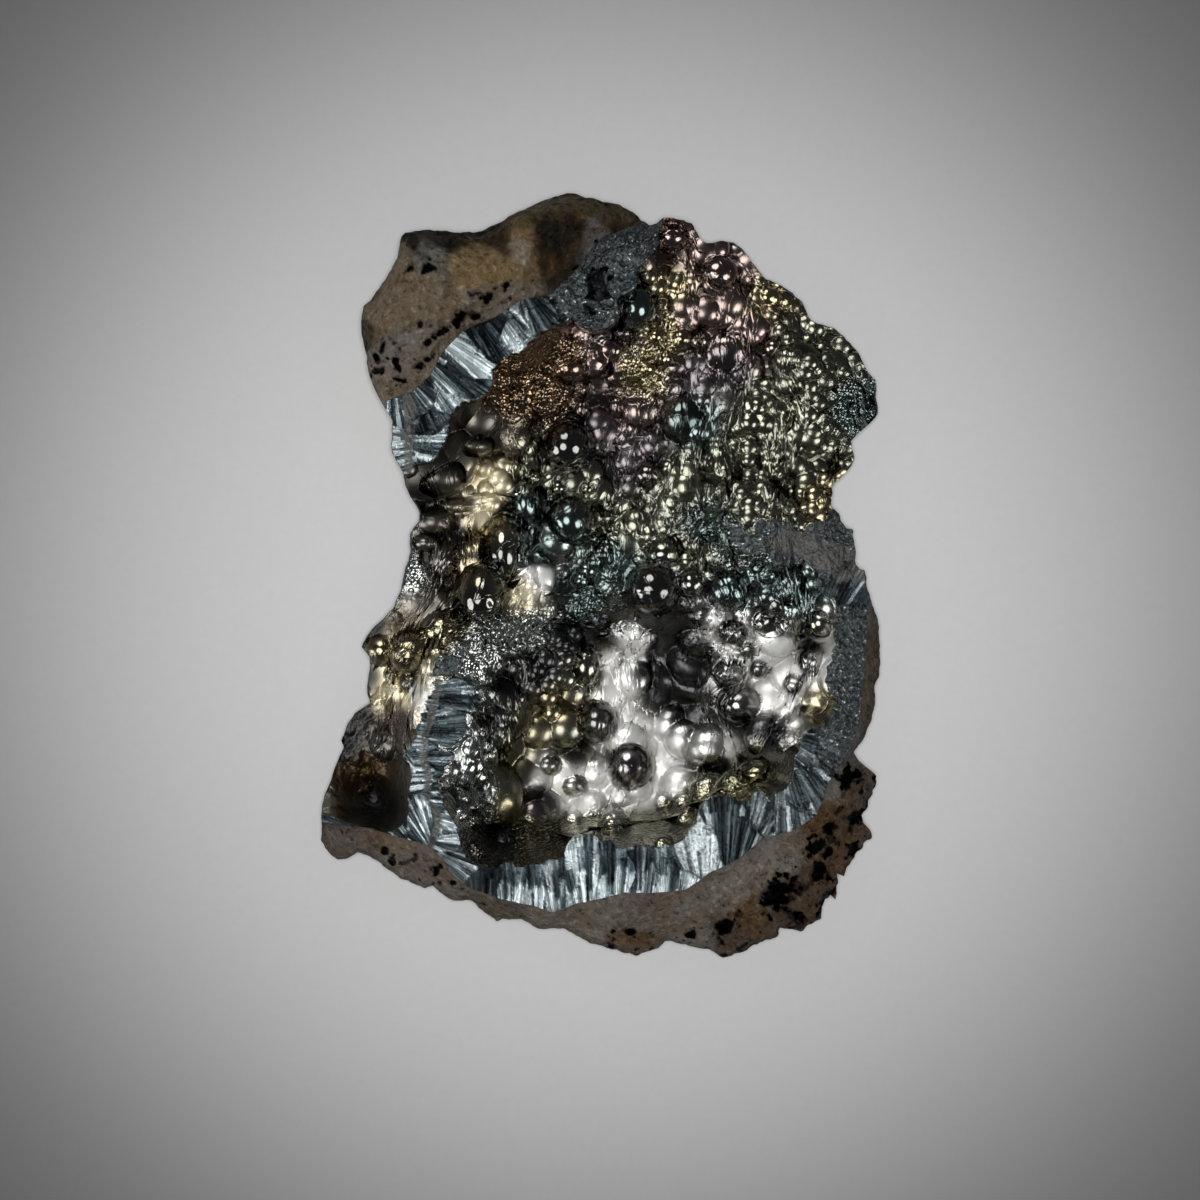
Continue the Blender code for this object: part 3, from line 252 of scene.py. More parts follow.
def with_globes(base, plain, x, y):
    """Skin with its globes, and how bare it is: 1 on a mirror ball, 0 where bubbles cover it.

    Each globe is the cap of an ellipsoid. Where the highest globe stands above the plain spot surface,
    it takes the place of whatever the base has there.
    """
    bare = np.zeros(np.shape(x))
    feet = spot_surface(SKIN, GLOBES[:, 0], GLOBES[:, 1])
    for (at_x, at_y, half_x, half_y, rise, pimpled), foot in zip(GLOBES, feet):
        rise = rise * (GLOBE_STANDS if pimpled < PIMPLED_FROM and half_x > SMALL_TO else GLOBE_SINKS)
        inside = 1.0 - ((x - at_x) / half_x) ** 2 - ((y - at_y) / half_y) ** 2
        half_up = max(rise, GLOBE_FULLNESS * half_x)
        top = foot + rise - half_up + half_up * np.sqrt(np.clip(inside, 0.0, None))
        above = (inside > 0.0) & (top > plain)
        plain = np.where(above, top, plain)
        base = np.where(above, top, base)
        bare = np.where(above, (1.0 - pimpled) * mask(0.0, 0.25, inside), bare)
    return base, bare


def radius_by_angle(points, angle):
    """Distance from the middle of the face to a closed line, in the direction of each angle."""
    bearing = np.arctan2(points[:, 1], points[:, 0]) % math.tau
    order = np.argsort(bearing)
    return np.interp(angle % math.tau, bearing[order], np.hypot(*points[order].T), period=math.tau)


def smooth_ring(radius):
    """The same closed line with only its broad waves left."""
    waves = np.fft.rfft(radius)
    waves[SMOOTH_WAVES:] = 0.0
    return np.fft.irfft(waves, len(radius))


def scatter(cell, seed):
    """An even random number, 0 to 1, for each lattice cell: its three numbers multiplied and mixed."""
    mixed = (cell[0] * 374761393 + cell[1] * 668265263 + cell[2] * 2147483647 + seed * 144665) & 0xFFFFFFFF
    mixed = ((mixed ^ (mixed >> 13)) * 1274126177) & 0xFFFFFFFF
    return (mixed ^ (mixed >> 16)) / 4294967296.0


def ripple(x, y, z, size, seed):
    """Smooth random relief from -1 to 1: a random number on each lattice corner, eased between corners.

    The lattice is turned against all three axes, so that its cells don't show as rows.
    """
    aslant = (0.80 * x + 0.48 * y + 0.36 * z, -0.60 * x + 0.64 * y + 0.48 * z, -0.60 * y + 0.80 * z)
    places = [np.floor(axis / size).astype(np.int64) for axis in aslant]
    shares = [axis / size - place for axis, place in zip(aslant, places)]
    shares = [share * share * (3.0 - 2.0 * share) for share in shares]
    total = 0.0
    for i in (0, 1):
        for j in (0, 1):
            for k in (0, 1):
                weight = np.abs(1 - i - shares[0]) * np.abs(1 - j - shares[1]) * np.abs(1 - k - shares[2])
                total = total + weight * scatter((places[0] + i, places[1] + j, places[2] + k), seed)
    return 2.0 * total - 1.0


def rough(x, y, z, size, octaves, seed):
    """Ripples on ripples: each octave has half the size and half the height of the one before."""
    total = 0.0
    for octave in range(octaves):
        total = total + 0.5 ** octave * ripple(x, y, z, size * 0.5 ** octave, seed + octave)
    return total


CREASE_DEPTH = 2.6      # how far a folded ripple falls below its crease, in heights of the ripple


def craggy(x, y, z, size, octaves, seed):
    """Relief with sharp creases: the folded ripples of each octave, sized like rough."""
    total = 0.0
    for octave in range(octaves):
        folded = np.abs(ripple(x, y, z, size * 0.5 ** octave, seed + octave))
        total = total + 0.5 ** octave * (1.0 - CREASE_DEPTH * folded)
    return total


def mask(low, high, value):
    """0 below low and 1 above high, eased between them."""
    share = np.clip((value - low) / (high - low), 0.0, 1.0)
    return share * share * (3.0 - 2.0 * share)


def ragged_outline(angle):
    """Distance to the border with its raggedness, strongest on the cavernous rock at the lower right."""
    radius = radius_by_angle(OUTLINE, angle)
    x, y = radius * np.cos(angle), radius * np.sin(angle)
    worn = RAGGED + RAGGED_CAVERN * mask(*CAVERN_REACH, np.hypot(x - CAVERN[0], y - CAVERN[1]))
    return radius + worn * (rough(x, y, 0.0 * x, 2.2, 4, 7) - 0.3)


FINE_ANGLES = np.linspace(0.0, math.tau, 2880, endpoint=False)
RAGGED, RAGGED_CAVERN = 0.32, 0.35      # half-heights of the border's raggedness
CAVERN, CAVERN_REACH = (34.0, -40.0), (22.0, 10.0)      # the cavernous rock: middle, outer and inner radius
OUTLINE_RADIUS = ragged_outline(FINE_ANGLES)
CONTACT_RADIUS = np.minimum(radius_by_angle(CONTACT, FINE_ANGLES), OUTLINE_RADIUS - SKIN_TO_EDGE)
BACK_RADIUS = smooth_ring(OUTLINE_RADIUS)
BROAD_RADIUS = smooth_ring(CONTACT_RADIUS)
AROUND = (OUTLINE_RADIUS * np.cos(FINE_ANGLES), OUTLINE_RADIUS * np.sin(FINE_ANGLES))
LENGTH_AROUND = np.cumsum(np.hypot(np.roll(AROUND[0], -1) - AROUND[0], np.roll(AROUND[1], -1) - AROUND[1]))


def angle_of_turn(turn):
    """Bearing of a point a given share of the way round, spread evenly along the outline."""
    along = np.concatenate([[0.0], LENGTH_AROUND / LENGTH_AROUND[-1]])
    return np.interp(turn % 1.0, along, np.append(FINE_ANGLES, math.tau))


def ring_radius(table, angle):
    """Distance at a bearing, from a table of distances at the fine angles."""
    return np.interp(angle % math.tau, FINE_ANGLES, table, period=math.tau)


def crust_plan(u, v):
    """Place on the face of a point of the square sheet.

    The square's rings, 0 in the middle and 1 at the rim, become rings that shrink from the contact with
    the rock to the middle; the share of the way round each is a share of the outline's length.
    """
    ring = np.maximum(np.abs(u), np.abs(v))
    safe = np.where(ring > 0.0, ring, 1.0)
    turn = np.where(u >= np.abs(v), v / safe, np.where(v >= np.abs(u), 2.0 - u / safe,
                    np.where(-u >= np.abs(v), 4.0 - v / safe, 6.0 + u / safe)))
    angle = angle_of_turn(turn / 8.0)
    broad = ring_radius(BROAD_RADIUS, angle)
    reach = ring * broad + ring ** RAGGED_DEPTH * (ring_radius(CONTACT_RADIUS, angle) - broad)
    return reach * np.cos(angle), reach * np.sin(angle)


def face_height(x, y):
    """Height of the face without its fine relief: the skin, cut off where the specimen was broken."""
    plain = spot_surface(SKIN, x, y)
    return np.minimum(with_globes(plain, plain, x, y)[0], spot_surface(BREAK, x, y))


def even_out(places, lengths, share):
    """Places along a line moved so that a share of their spacing follows the length of the real surface."""
    along = np.concatenate([[0.0], np.cumsum(lengths)])
    plain = np.linspace(0.0, 1.0, len(along))
    return np.interp(plain, share * along / along[-1] + (1.0 - share) * plain, places)


def normals_of(spots):
    """Directions square to a sheet of points, from its slopes along both of its lines."""
    across = np.gradient(spots, axis=1)
    up = np.gradient(spots, axis=0)
    square = np.cross(across, up)
    return square / np.linalg.norm(square, axis=2, keepdims=True)


def spread(places, kinds, x, y, sharp=2):
    """Values of the kinds named at places, spread over the face: each weighs 1 / (distance^2 + 1)^sharp."""
    total, weights = 0.0, 0.0
    for at_x, at_y, kind in places:
        weight = 1.0 / ((x - at_x) ** 2 + (y - at_y) ** 2 + 1.0) ** sharp
        total = total + weight[..., None] * np.array(kinds[kind])
        weights = weights + weight
    return total / weights[..., None]


# Tarnish of the skin: colour that it reflects with (red, green, blue) and roughness. The silver and cream
# glares are painted highlight as well as tint: pale and half matt, they stand in for the lamps' glare in the
# hollows
TARNISH_AND_GLARE = {
    "black": (0.120, 0.120, 0.114, 0.16), "violet": (0.142, 0.124, 0.130, 0.25),
    "rose": (0.250, 0.190, 0.175, 0.23), "gold": (0.320, 0.270, 0.165, 0.22),
    "pale": (0.208, 0.208, 0.160, 0.22), "teal": (0.130, 0.170, 0.163, 0.20),
    "silver_glare": (0.900, 0.895, 0.860, 0.40), "cream_glare": (0.740, 0.660, 0.450, 0.38),
    "copper": (0.220, 0.155, 0.100, 0.20), "smoke": (0.120, 0.110, 0.095, 0.32),
    "olive": (0.300, 0.270, 0.170, 0.25), "dark": (0.036, 0.036, 0.038, 0.24),
    "rust": (0.085, 0.050, 0.018, 0.50), "druse": (0.400, 0.425, 0.410, 0.18),
    "shadow": (0.035, 0.036, 0.036, 0.45), "brass": (0.240, 0.225, 0.140, 0.17)}

# Relief of the skin: shares of it that domes and large, medium and small bubbles cover, then how strong
# its hammered look, its tiniest bubbles and its long wrinkles are
RELIEF = {
    "bare": (0.0, 0.0, 0.0, 0.0, 0.0, 0.0, 0.0), "lobes": (0.8, 0.6, 0.0, 0.0, 0.2, 0.0, 0.0),
    "large": (0.4, 1.1, 0.3, 0.0, 0.0, 0.0, 0.0), "medium": (0.6, 0.3, 1.1, 0.2, 0.0, 0.0, 0.0),
    "small": (1.0, 0.0, 0.3, 1.1, 0.0, 0.0, 0.0), "tiny": (0.3, 0.0, 0.0, 0.6, 0.3, 1.0, 0.0),
    "net": (0.3, 0.5, 0.0, 0.0, 0.4, 0.15, 0.0), "hammered": (0.4, 0.8, 0.3, 0.0, 1.0, 0.0, 0.0),
    "wrinkled": (0.2, 0.3, 0.0, 0.3, 0.3, 0.3, 1.0), "grit": (0.0, 0.0, 0.0, 0.5, 0.5, 1.0, 0.0),
    "crag": (0.0, 0.0, 0.1, 0.2, 6.0, 0.3, 0.0)}
HAMMER, WRINKLE = 0.045, 0.34

# Where each tarnish, and each painted glare, is on the skin
TARNISH_AND_GLARE_PLACES = (
    (-3, 34, "rose"), (-5, 29, "copper"), (1, 33, "violet"), (0, 27, "rose"), (5, 26, "gold"),
    (8, 31, "gold"), (4, 21, "rose"), (-9, 28, "copper"), (-12, 24, "copper"), (-7, 23, "copper"),
    (-15, 19, "smoke"), (5, 35, "teal"), (9, 37, "gold"), (8, 43, "rose"), (14, 42, "rose"),
    (12, 34, "rose"), (17, 38, "rose"), (22, 36, "gold"), (12, 26, "violet"), (17, 27, "violet"),
    (20, 31, "rose"), (25, 31, "pale"), (30, 28, "pale"), (33, 22, "teal"), (27, 23, "pale"),
    (21, 23, "pale"), (12, 20, "teal"), (6, 17, "violet"), (0, 20, "violet"), (10, 13, "pale"),
    (17, 15, "pale"), (23, 14, "pale"), (28, 16, "pale"), (30, 11, "gold"), (20, 9, "pale"),
    (3, 14, "violet"), (-1, 11, "pale"), (-4, 17, "black"), (-4, 7, "teal"), (0, 8, "pale"),
    (2, 2, "teal"), (5, 6, "pale"), (8, -1, "black"), (12, 3, "pale"), (14, 6, "teal"),
    (-8, 13, "pale"), (-10, 9, "teal"), (-8, 3, "teal"), (-13, 2, "black"), (-16, -3, "black"),
    (-14, 12, "cream_glare"), (-15, 8, "cream_glare"), (-16, 5, "gold"), (-10, -2, "cream_glare"), (-8, 0, "silver_glare"),
    (-4, -1, "teal"), (-2, -4, "teal"), (-20, 13, "smoke"), (-22, 9, "smoke"), (-19, 6, "smoke"),
    (-22, 3, "smoke"), (-24.4, 1, "druse"), (-20, 1, "violet"), (-18, 0, "gold"), (-22, -4, "smoke"),
    (-20, -7, "olive"), (-24, -9, "gold"), (-28, -9, "gold"), (-24.5, -11.5, "cream_glare"),
    (-29, -7, "shadow"), (-30, -13, "shadow"),
    (-26.5, -13, "cream_glare"), (-27.6, -15.4, "cream_glare"), (-24, -15, "silver_glare"), (-25.5, -16, "cream_glare"),
    (-26, -18, "rose"),
    (-31, -18, "shadow"), (-33, -22, "shadow"), (-28, -22, "smoke"), (-30, -25, "rust"),
    (-33, -27, "rust"), (-29, -30, "shadow"), (-34.6, -29.6, "druse"),
    (-17, -10, "druse"), (-13, -8, "druse"), (-9, -7, "druse"), (-17, -16, "druse"), (-12, -14, "dark"),
    (-16, -22, "druse"), (-13, -19, "black"), (-16, -28, "druse"), (-11, -24, "olive"),
    (-12, -30, "olive"), (-9, -20, "olive"), (-8, -12, "dark"), (-13, -34, "dark"), (-8.5, -34, "brass"),
    (-4, -8, "dark"), (0, -7, "dark"), (-2, -13, "pale"), (-5, -17, "gold"), (2, -12, "silver_glare"),
    (3, -16, "silver_glare"), (2, -20, "silver_glare"), (-4, -22, "pale"), (-6, -26, "silver_glare"), (-3, -29, "silver_glare"),
    (-8, -29, "violet"), (1, -27, "silver_glare"), (6, -29, "silver_glare"), (4, -25, "violet"), (7, -25, "silver_glare"),
    (9, -27, "silver_glare"), (4.5, -9, "silver_glare"), (8, -7, "dark"), (9, -12, "dark"), (12, -9, "dark"),
    (12, -14, "dark"), (8, -16, "dark"), (7, -20, "silver_glare"), (11, -18, "dark"), (12, -22, "silver_glare"),
    (7, -12, "dark"), (13.5, -11.5, "dark"), (10, -9.5, "dark"), (10, -15.5, "dark"), (11, -6, "dark"),
    (16, -22, "silver_glare"), (15, -25, "pale"), (16, -17, "black"), (20, -16, "silver_glare"), (19, -19, "dark"),
    (15, -7, "silver_glare"), (18, -9, "silver_glare"), (21, -9, "silver_glare"), (24, -10, "silver_glare"), (17, -12, "silver_glare"),
    (22, -13, "silver_glare"), (26, -13, "silver_glare"), (28, -10, "silver_glare"), (27, -7, "pale"), (22, -5, "black"),
    (17, -2, "teal"), (22, -1, "teal"), (26, -3, "teal"), (24, -16, "silver_glare"), (28, -16, "olive"),
    (22, -20, "dark"), (20, -24.5, "brass"), (13, -29, "brass"), (6, -31.8, "brass"), (-1, -33.2, "brass"),
    (17, -26.5, "brass"), (-5, -34, "brass"), (9, -30.6, "brass"))

# Where each relief is on the skin
RELIEF_PLACES = (
    (-3, 34, "medium"), (-5, 29, "tiny"), (1, 33, "large"), (0, 27, "large"), (4, 25, "tiny"),
    (8, 31, "tiny"), (4, 21, "medium"), (-9, 28, "tiny"), (-12, 24, "tiny"), (-7, 23, "tiny"),
    (-15, 19, "lobes"), (5, 38, "medium"), (9, 37, "small"), (8, 41, "lobes"), (14, 42, "medium"),
    (12, 34, "medium"), (17, 37, "medium"), (22, 36, "small"), (11, 27, "medium"), (17, 27, "large"),
    (20, 31, "medium"), (25, 31, "small"), (30, 28, "small"), (33, 22, "tiny"), (27, 23, "small"),
    (21, 24, "small"), (14, 20, "medium"), (6, 17, "large"), (0, 20, "large"), (10, 13, "medium"),
    (17, 17, "small"), (23, 16, "small"), (28, 16, "small"), (30, 11, "small"), (20, 9, "small"),
    (3, 14, "large"), (-1, 11, "medium"), (-8, 16, "medium"), (0, 8, "medium"), (1, 0, "net"),
    (5, 6, "medium"), (12, 3, "small"), (14, 6, "tiny"), (-8, 13, "medium"), (-7, 4, "medium"),
    (-14, 12, "small"), (-15, 8, "small"), (-16, 5, "lobes"), (-10, -2, "small"), (-8, 0, "small"),
    (-4, -1, "net"), (-2, -4, "tiny"), (-20, 16, "lobes"), (-22, 9, "lobes"), (-19, 6, "lobes"),
    (-24.4, 1, "tiny"), (-22, 3, "lobes"), (-20, 1, "lobes"), (-18, 0, "lobes"), (-22, -4, "bare"),
    (-24, -12, "large"), (-28, -13, "bare"), (-26, -15, "medium"), (-24, -17, "net"), (-30, -18, "crag"),
    (-33, -22, "crag"), (-30, -25, "crag"), (-29, -30, "crag"), (-34, -27, "crag"), (-34.6, -30, "bare"),
    (-26, -27, "crag"), (-17, -10, "tiny"), (-13, -8, "tiny"),
    (-9, -7, "tiny"), (-17, -16, "small"), (-12, -13, "small"), (-16, -22, "small"), (-13, -18, "small"),
    (-16, -28, "small"), (-11, -24, "lobes"), (-12, -30, "bare"), (-9, -20, "lobes"), (-8, -12, "small"),
    (-14, -34, "grit"), (-11, -34.5, "grit"), (-15, -31, "grit"), (-8, -34, "wrinkled"),
    (-4, -8, "small"), (0, -7, "net"), (-2, -13, "lobes"),
    (-5, -17, "lobes"), (2, -12, "hammered"), (3, -17, "hammered"), (2, -21, "hammered"),
    (-4, -21, "lobes"), (-6, -26, "hammered"), (-3, -29, "hammered"), (-8, -30, "hammered"),
    (1, -27, "hammered"), (6, -29, "hammered"), (8, -26, "hammered"), (5, -9, "hammered"),
    (9, -8, "bare"), (10, -12, "bare"), (12, -9, "net"), (12, -14, "bare"), (8, -17, "hammered"),
    (8, -21, "hammered"), (11, -18, "hammered"), (13, -22, "hammered"), (15, -25, "lobes"),
    (20, -17, "bare"), (15, -7, "medium"), (18, -9, "medium"), (23, -9, "large"), (22, -13, "large"),
    (26, -12, "large"), (28, -8, "medium"), (22, -2, "small"), (26, -3, "small"), (24, -16, "lobes"),
    (28, -16, "hammered"), (22, -20, "net"), (20, -24, "net"), (13, -29, "wrinkled"), (6, -31.5, "wrinkled"),
    (-1, -33, "wrinkled"), (18, -26.5, "wrinkled"), (-6, -34, "wrinkled"), (20, 3, "tiny"))

# Fans of fibres on the broken edges: a place in the fan, the point that its fibres spread from, the width
# of a blade, how bright it is, and how far its blades tilt
FANS = np.array([
    # upper left
    (-7.8, 32.4, -11.0, 38.5, 0.7, 0.45, 0.7), (-10.4, 31.0, -16.5, 39.0, 1.3, 1.00, 0.5),
    # the nearly black fan at (-13.6, 30.4) is a painted shadow: the deep shade of an overhang in the band
    (-13.6, 30.4, -19.0, 38.0, 1.1, 0.05, 0.6), (-16.8, 27.6, -25.0, 34.0, 1.1, 0.90, 0.8),
    (-18.4, 24.8, -27.0, 32.0, 0.9, 0.50, 0.8), (-19.2, 21.8, -26.0, 31.0, 1.1, 0.90, 0.7),
    (-21.6, 20.6, -26.0, 29.0, 0.9, 0.25, 0.6), (-22.2, 16.6, -34.0, 18.0, 0.6, 0.85, 0.8),
    (-26.2, 16.6, -14.0, 17.4, 0.5, 0.70, 0.8), (-23.0, 22.4, -27.0, 28.0, 0.6, 0.40, 0.7),
    # thin wall between the hollows: both sides of its core
    (-12.0, -5.0, -14.0, -15.0, 0.3, 0.35, 0.3), (-16.5, -7.6, -19.0, -16.0, 0.3, 0.35, 0.3),
    (-20.0, -10.4, -28.0, -16.0, 0.3, 0.35, 0.35),
    (-24.3, -14.5, -15.0, -14.5, 0.4, 0.50, 0.9), (-24.4, -18.5, -15.0, -19.5, 0.4, 0.50, 0.9),
    (-24.4, -22.5, -15.0, -22.5, 0.4, 0.55, 0.9), (-24.3, -26.5, -15.0, -25.5, 0.4, 0.55, 0.9),
    (-20.6, -15.5, -30.0, -15.0, 0.4, 0.35, 0.9), (-20.6, -19.5, -30.0, -19.5, 0.4, 0.35, 0.9),
    (-20.8, -23.5, -30.0, -23.0, 0.4, 0.40, 0.9), (-20.6, -27.5, -30.0, -28.0, 0.4, 0.40, 0.9),
    (-24.6, -30.8, -20.8, -36.5, 0.5, 0.55, 0.9), (-27.6, -31.6, -22.0, -37.0, 0.5, 0.30, 0.9),
    (-18.8, -31.6, -25.0, -30.0, 0.5, 0.60, 0.9), (-18.0, -34.0, -24.5, -33.6, 0.5, 0.55, 0.9),
    (-18.2, -37.6, -22.5, -34.5, 0.6, 0.60, 0.9),
    # along the bottom
    (-14.6, -39.4, -15.0, -54.0, 0.8, 0.10, 0.6), (-11.4, -39.6, -11.4, -54.0, 0.8, 0.20, 0.7),
    (-8.6, -39.6, -8.0, -54.0, 0.8, 0.55, 0.9), (-5.2, -39.6, -4.4, -53.0, 0.8, 0.55, 0.9),
    (-1.8, -38.4, -1.2, -52.0, 0.8, 0.50, 0.9), (1.8, -37.6, 1.6, -52.0, 0.8, 0.40, 0.9),
    (5.4, -37.4, 5.0, -52.0, 0.8, 0.35, 0.9), (8.6, -37.0, 8.6, -52.0, 0.7, 0.35, 0.9),
    (12.8, -34.8, 13.8, -46.0, 0.5, 0.72, 0.45), (17.0, -33.0, 16.2, -43.0, 0.6, 0.40, 0.6),
    (20.4, -30.8, 17.8, -40.0, 0.6, 0.36, 0.5), (24.0, -29.6, 23.6, -19.0, 0.5, 0.42, 0.5),
    (27.2, -26.4, 22.0, -19.0, 0.5, 0.46, 0.5), (26.4, -23.4, 20.0, -19.0, 0.5, 0.42, 0.5),
    # down the right side
    (30.4, -21.6, 20.0, -18.0, 0.5, 0.39, 0.4), (32.2, -16.0, 18.0, -15.0, 0.5, 0.37, 0.35),
    (32.2, -11.0, 18.0, -11.0, 0.5, 0.40, 0.35), (32.2, -6.0, 18.0, -7.0, 0.5, 0.36, 0.35),
    (31.6, -2.0, 26.0, -12.0, 0.5, 0.45, 0.6), (28.6, 1.6, 30.0, 16.0, 0.5, 0.40, 0.3),
    (23.0, 4.6, 25.0, 16.0, 0.5, 0.40, 0.2), (17.6, 5.6, 19.0, 18.0, 0.5, 0.40, 0.2),
    # sparkling broken patch at the top
    (-2.0, 41.0, -4.0, 52.0, 0.4, 0.35, 0.2), (2.4, 39.4, 4.0, 50.0, 0.4, 0.35, 0.2),
    (-4.4, 37.0, -4.0, 52.0, 0.4, 0.35, 0.2), (-1.4, 44.6, 4.0, 50.0, 0.4, 0.35, 0.2)])
BLADE_LENGTH = 8.0
BLADE_TILT, BLADE_LEVEL, BLADE_ROUND = 0.8, 0.30, 1.4       # relief of a blade, in shares of its width
FAN_WANDER = 1.2                # how far the border between two fans strays
CUSP, CUSP_WIDTH = 0.7, 0.7     # height and width of the ridge between one fan and the next
GRIT = 0.22                     # height of the grain where the fibres broke across

# Fans along the bottom whose fibres turn up to the light at their outer ends, where a painted glint also
# lightens them
TOOTHED = range(27, 34)
TOOTH_WIDTH, TOOTH_RISE = 0.9, 0.45     # width of such an end, and its slope
TOOTH_LENGTH = (1.4, 2.6)               # length of the shortest, and how much longer the longest is


def fibres(x, y, from_rock):
    """Relief of the broken fibres, their place along and across, and how bright each blade is.

    A point belongs to the nearest fan. A blade is a step of the bearing round the point that the fan
    spreads from, cut into lengths; each has a level and a tilt of its own. At the rock, blades of the
    toothed fans rise to meet it, each over its own length, and a painted glint lightens their ends.
    """
    wander = FAN_WANDER * ripple(x, y, 0.0 * x, 3.0, 31)
    away = [(x + wander - fan[0]) ** 2 + (y + wander - fan[1]) ** 2 for fan in FANS]
    nearest = np.argmin(away, axis=0)
    fan = FANS[nearest]
    dx, dy = x - fan[..., 2], y - fan[..., 3]
    seat_x, seat_y = fan[..., 0] - fan[..., 2], fan[..., 1] - fan[..., 3]
    distance = np.hypot(dx, dy)
    turn = np.arctan2(seat_x * dy - seat_y * dx, seat_x * dx + seat_y * dy)
    along = turn * np.hypot(seat_x, seat_y)
    height, bright = 0.0, 0.0
    silky = mask(0.25, 0.6, fan[..., 6])
    for scale, seed in ((1.0, 41), (0.45, 51)):
        number = along / (fan[..., 4] * scale)
        blade = np.floor(number).astype(np.int64)
        offset = scatter((blade, nearest, 0 * blade), seed)
        length = distance / (BLADE_LENGTH * math.sqrt(scale)) + 2.0 * offset
        piece = np.floor(length).astype(np.int64)
        cell = (blade, piece, nearest)
        tilt = 2.0 * scatter(cell, seed + 1) - 1.0
        level = scatter(cell, seed + 2)
        width = fan[..., 4] * scale
        share = number - blade
        rounded = BLADE_ROUND * share * (1.0 - share)
        height = height + silky * width * (BLADE_TILT * tilt * (share - 0.5) + BLADE_LEVEL * level + rounded)
        bright = bright + silky * scale * (scatter(cell, seed + 3) - 0.5)
    toothed = (nearest >= TOOTHED[0]) & (nearest <= TOOTHED[-1])
    blade = np.floor(along / TOOTH_WIDTH).astype(np.int64)
    tooth = TOOTH_LENGTH[0] + TOOTH_LENGTH[1] * scatter((blade, nearest, 0 * blade), 61)
    height = height + np.where(toothed, TOOTH_RISE * np.clip(tooth - from_rock, 0.0, None), 0.0)
    nearest_two = np.sort(np.partition(away, 1, axis=0)[:2], axis=0) ** 0.5
    cusp = np.exp(-(nearest_two[1] - nearest_two[0]) / CUSP_WIDTH)
    height = height + CUSP * cusp * silky + GRIT * (1.0 - silky) * craggy(x, y, 0.0 * x, 1.0, 3, 65)
    # painted glint: the toothed blades lighter towards their ends at the rock
    painted_tooth_glint = np.where(toothed, 0.5 * mask(tooth + 0.6, tooth - 0.4, from_rock), 0.0)
    return height, along, distance, fan[..., 6], np.clip(fan[..., 5] + painted_tooth_glint + 0.9 * bright, 0.0, 1.0)


# Holes in the broken face: place, half-length, half-width, bearing of their length in degrees, depth
PORES = np.array([
    (-22.0, 30.0, 0.9, 0.5, 40, 1.4), (-20.0, 31.5, 0.9, 0.5, 20, 1.4), (-18.0, 33.0, 0.9, 0.6, 50, 1.5),
    (-16.0, 33.4, 0.7, 0.4, 10, 1.2), (-14.5, 35.5, 0.9, 0.5, 60, 1.4), (-12.0, 37.3, 0.6, 0.4, 30, 1.2),
    (-27.9, 29.5, 1.1, 0.4, 70, 1.2), (-26.0, 27.0, 1.3, 0.45, 120, 1.4), (-23.2, 27.2, 1.0, 0.5, 30, 1.3),
    (-25.7, 25.3, 1.1, 0.4, 160, 1.2), (-28.5, 26.5, 0.9, 0.4, 20, 1.2), (-23.0, 32.3, 0.7, 0.4, 90, 1.0),
    (-22.0, 39.5, 1.1, 0.7, 10, 1.8), (-24.2, 39.5, 0.6, 0.4, 0, 1.2), (-0.4, 37.3, 1.3, 2.0, 0, 3.0),
    (-28.0, -35.5, 0.8, 0.5, 30, 1.4), (-27.0, -36.6, 0.7, 0.5, 100, 1.4), (-21.0, -37.9, 0.8, 0.5, 60, 1.4),
    (-19.0, -39.6, 0.7, 0.5, 0, 1.3), (4.0, -46.0, 1.1, 0.5, 10, 1.5), (11.8, -46.4, 0.9, 0.6, 20, 1.6),
    (16.3, -45.4, 1.2, 0.8, 40, 2.0), (23.0, -41.0, 2.2, 1.3, 60, 3.2), (28.2, -34.8, 1.4, 0.9, 30, 2.2),
    (29.6, -32.4, 1.0, 0.7, 80, 2.0), (28.5, -37.6, 1.3, 0.8, 130, 2.2), (32.0, -26.0, 1.7, 1.2, 70, 2.6),
    (33.0, -31.2, 1.2, 0.8, 50, 2.2), (33.0, -35.4, 1.1, 0.8, 20, 2.2), (26.0, -44.2, 1.3, 0.8, 150, 2.2)])


def pore_depth(x, y):
    """Depth of the named holes: each an ellipse with a steep, uneven wall."""
    uneven = 1.2 + 0.75 * rough(x, y, 0.0 * x, 0.7, 3, 81)
    depth = np.zeros(np.shape(x))
    for at_x, at_y, half_long, half_wide, turned, deep in PORES:
        turned = math.radians(turned)
        dx, dy = x - at_x, y - at_y
        away = np.hypot((dx * math.cos(turned) + dy * math.sin(turned)) / half_long,
                        (dy * math.cos(turned) - dx * math.sin(turned)) / half_wide)
        depth = np.maximum(depth, deep * mask(1.25, 0.6, away * uneven))
    return depth


# Thin brown cores inside the broken fibres, where the two sides of a wall grew from
CORES = (
    ((-20.7, -12.4), (-21.2, -15.7), (-21.7, -18.2), (-22.6, -20.9), (-22.8, -23.0), (-22.2, -25.0),
     (-22.2, -28.7), (-21.2, -30.0), (-20.7, -32.2), (-21.6, -33.9), (-22.4, -36.4)),
    ((-24.4, 13.8), (-24.8, 17.0), (-24.4, 20.0), (-24.8, 23.0)),
    ((24.0, 4.4), (27.0, 3.6), (30.0, 2.2), (33.0, 1.6)))
CORE_WIDTHS = (0.45, 0.7, 2.2)


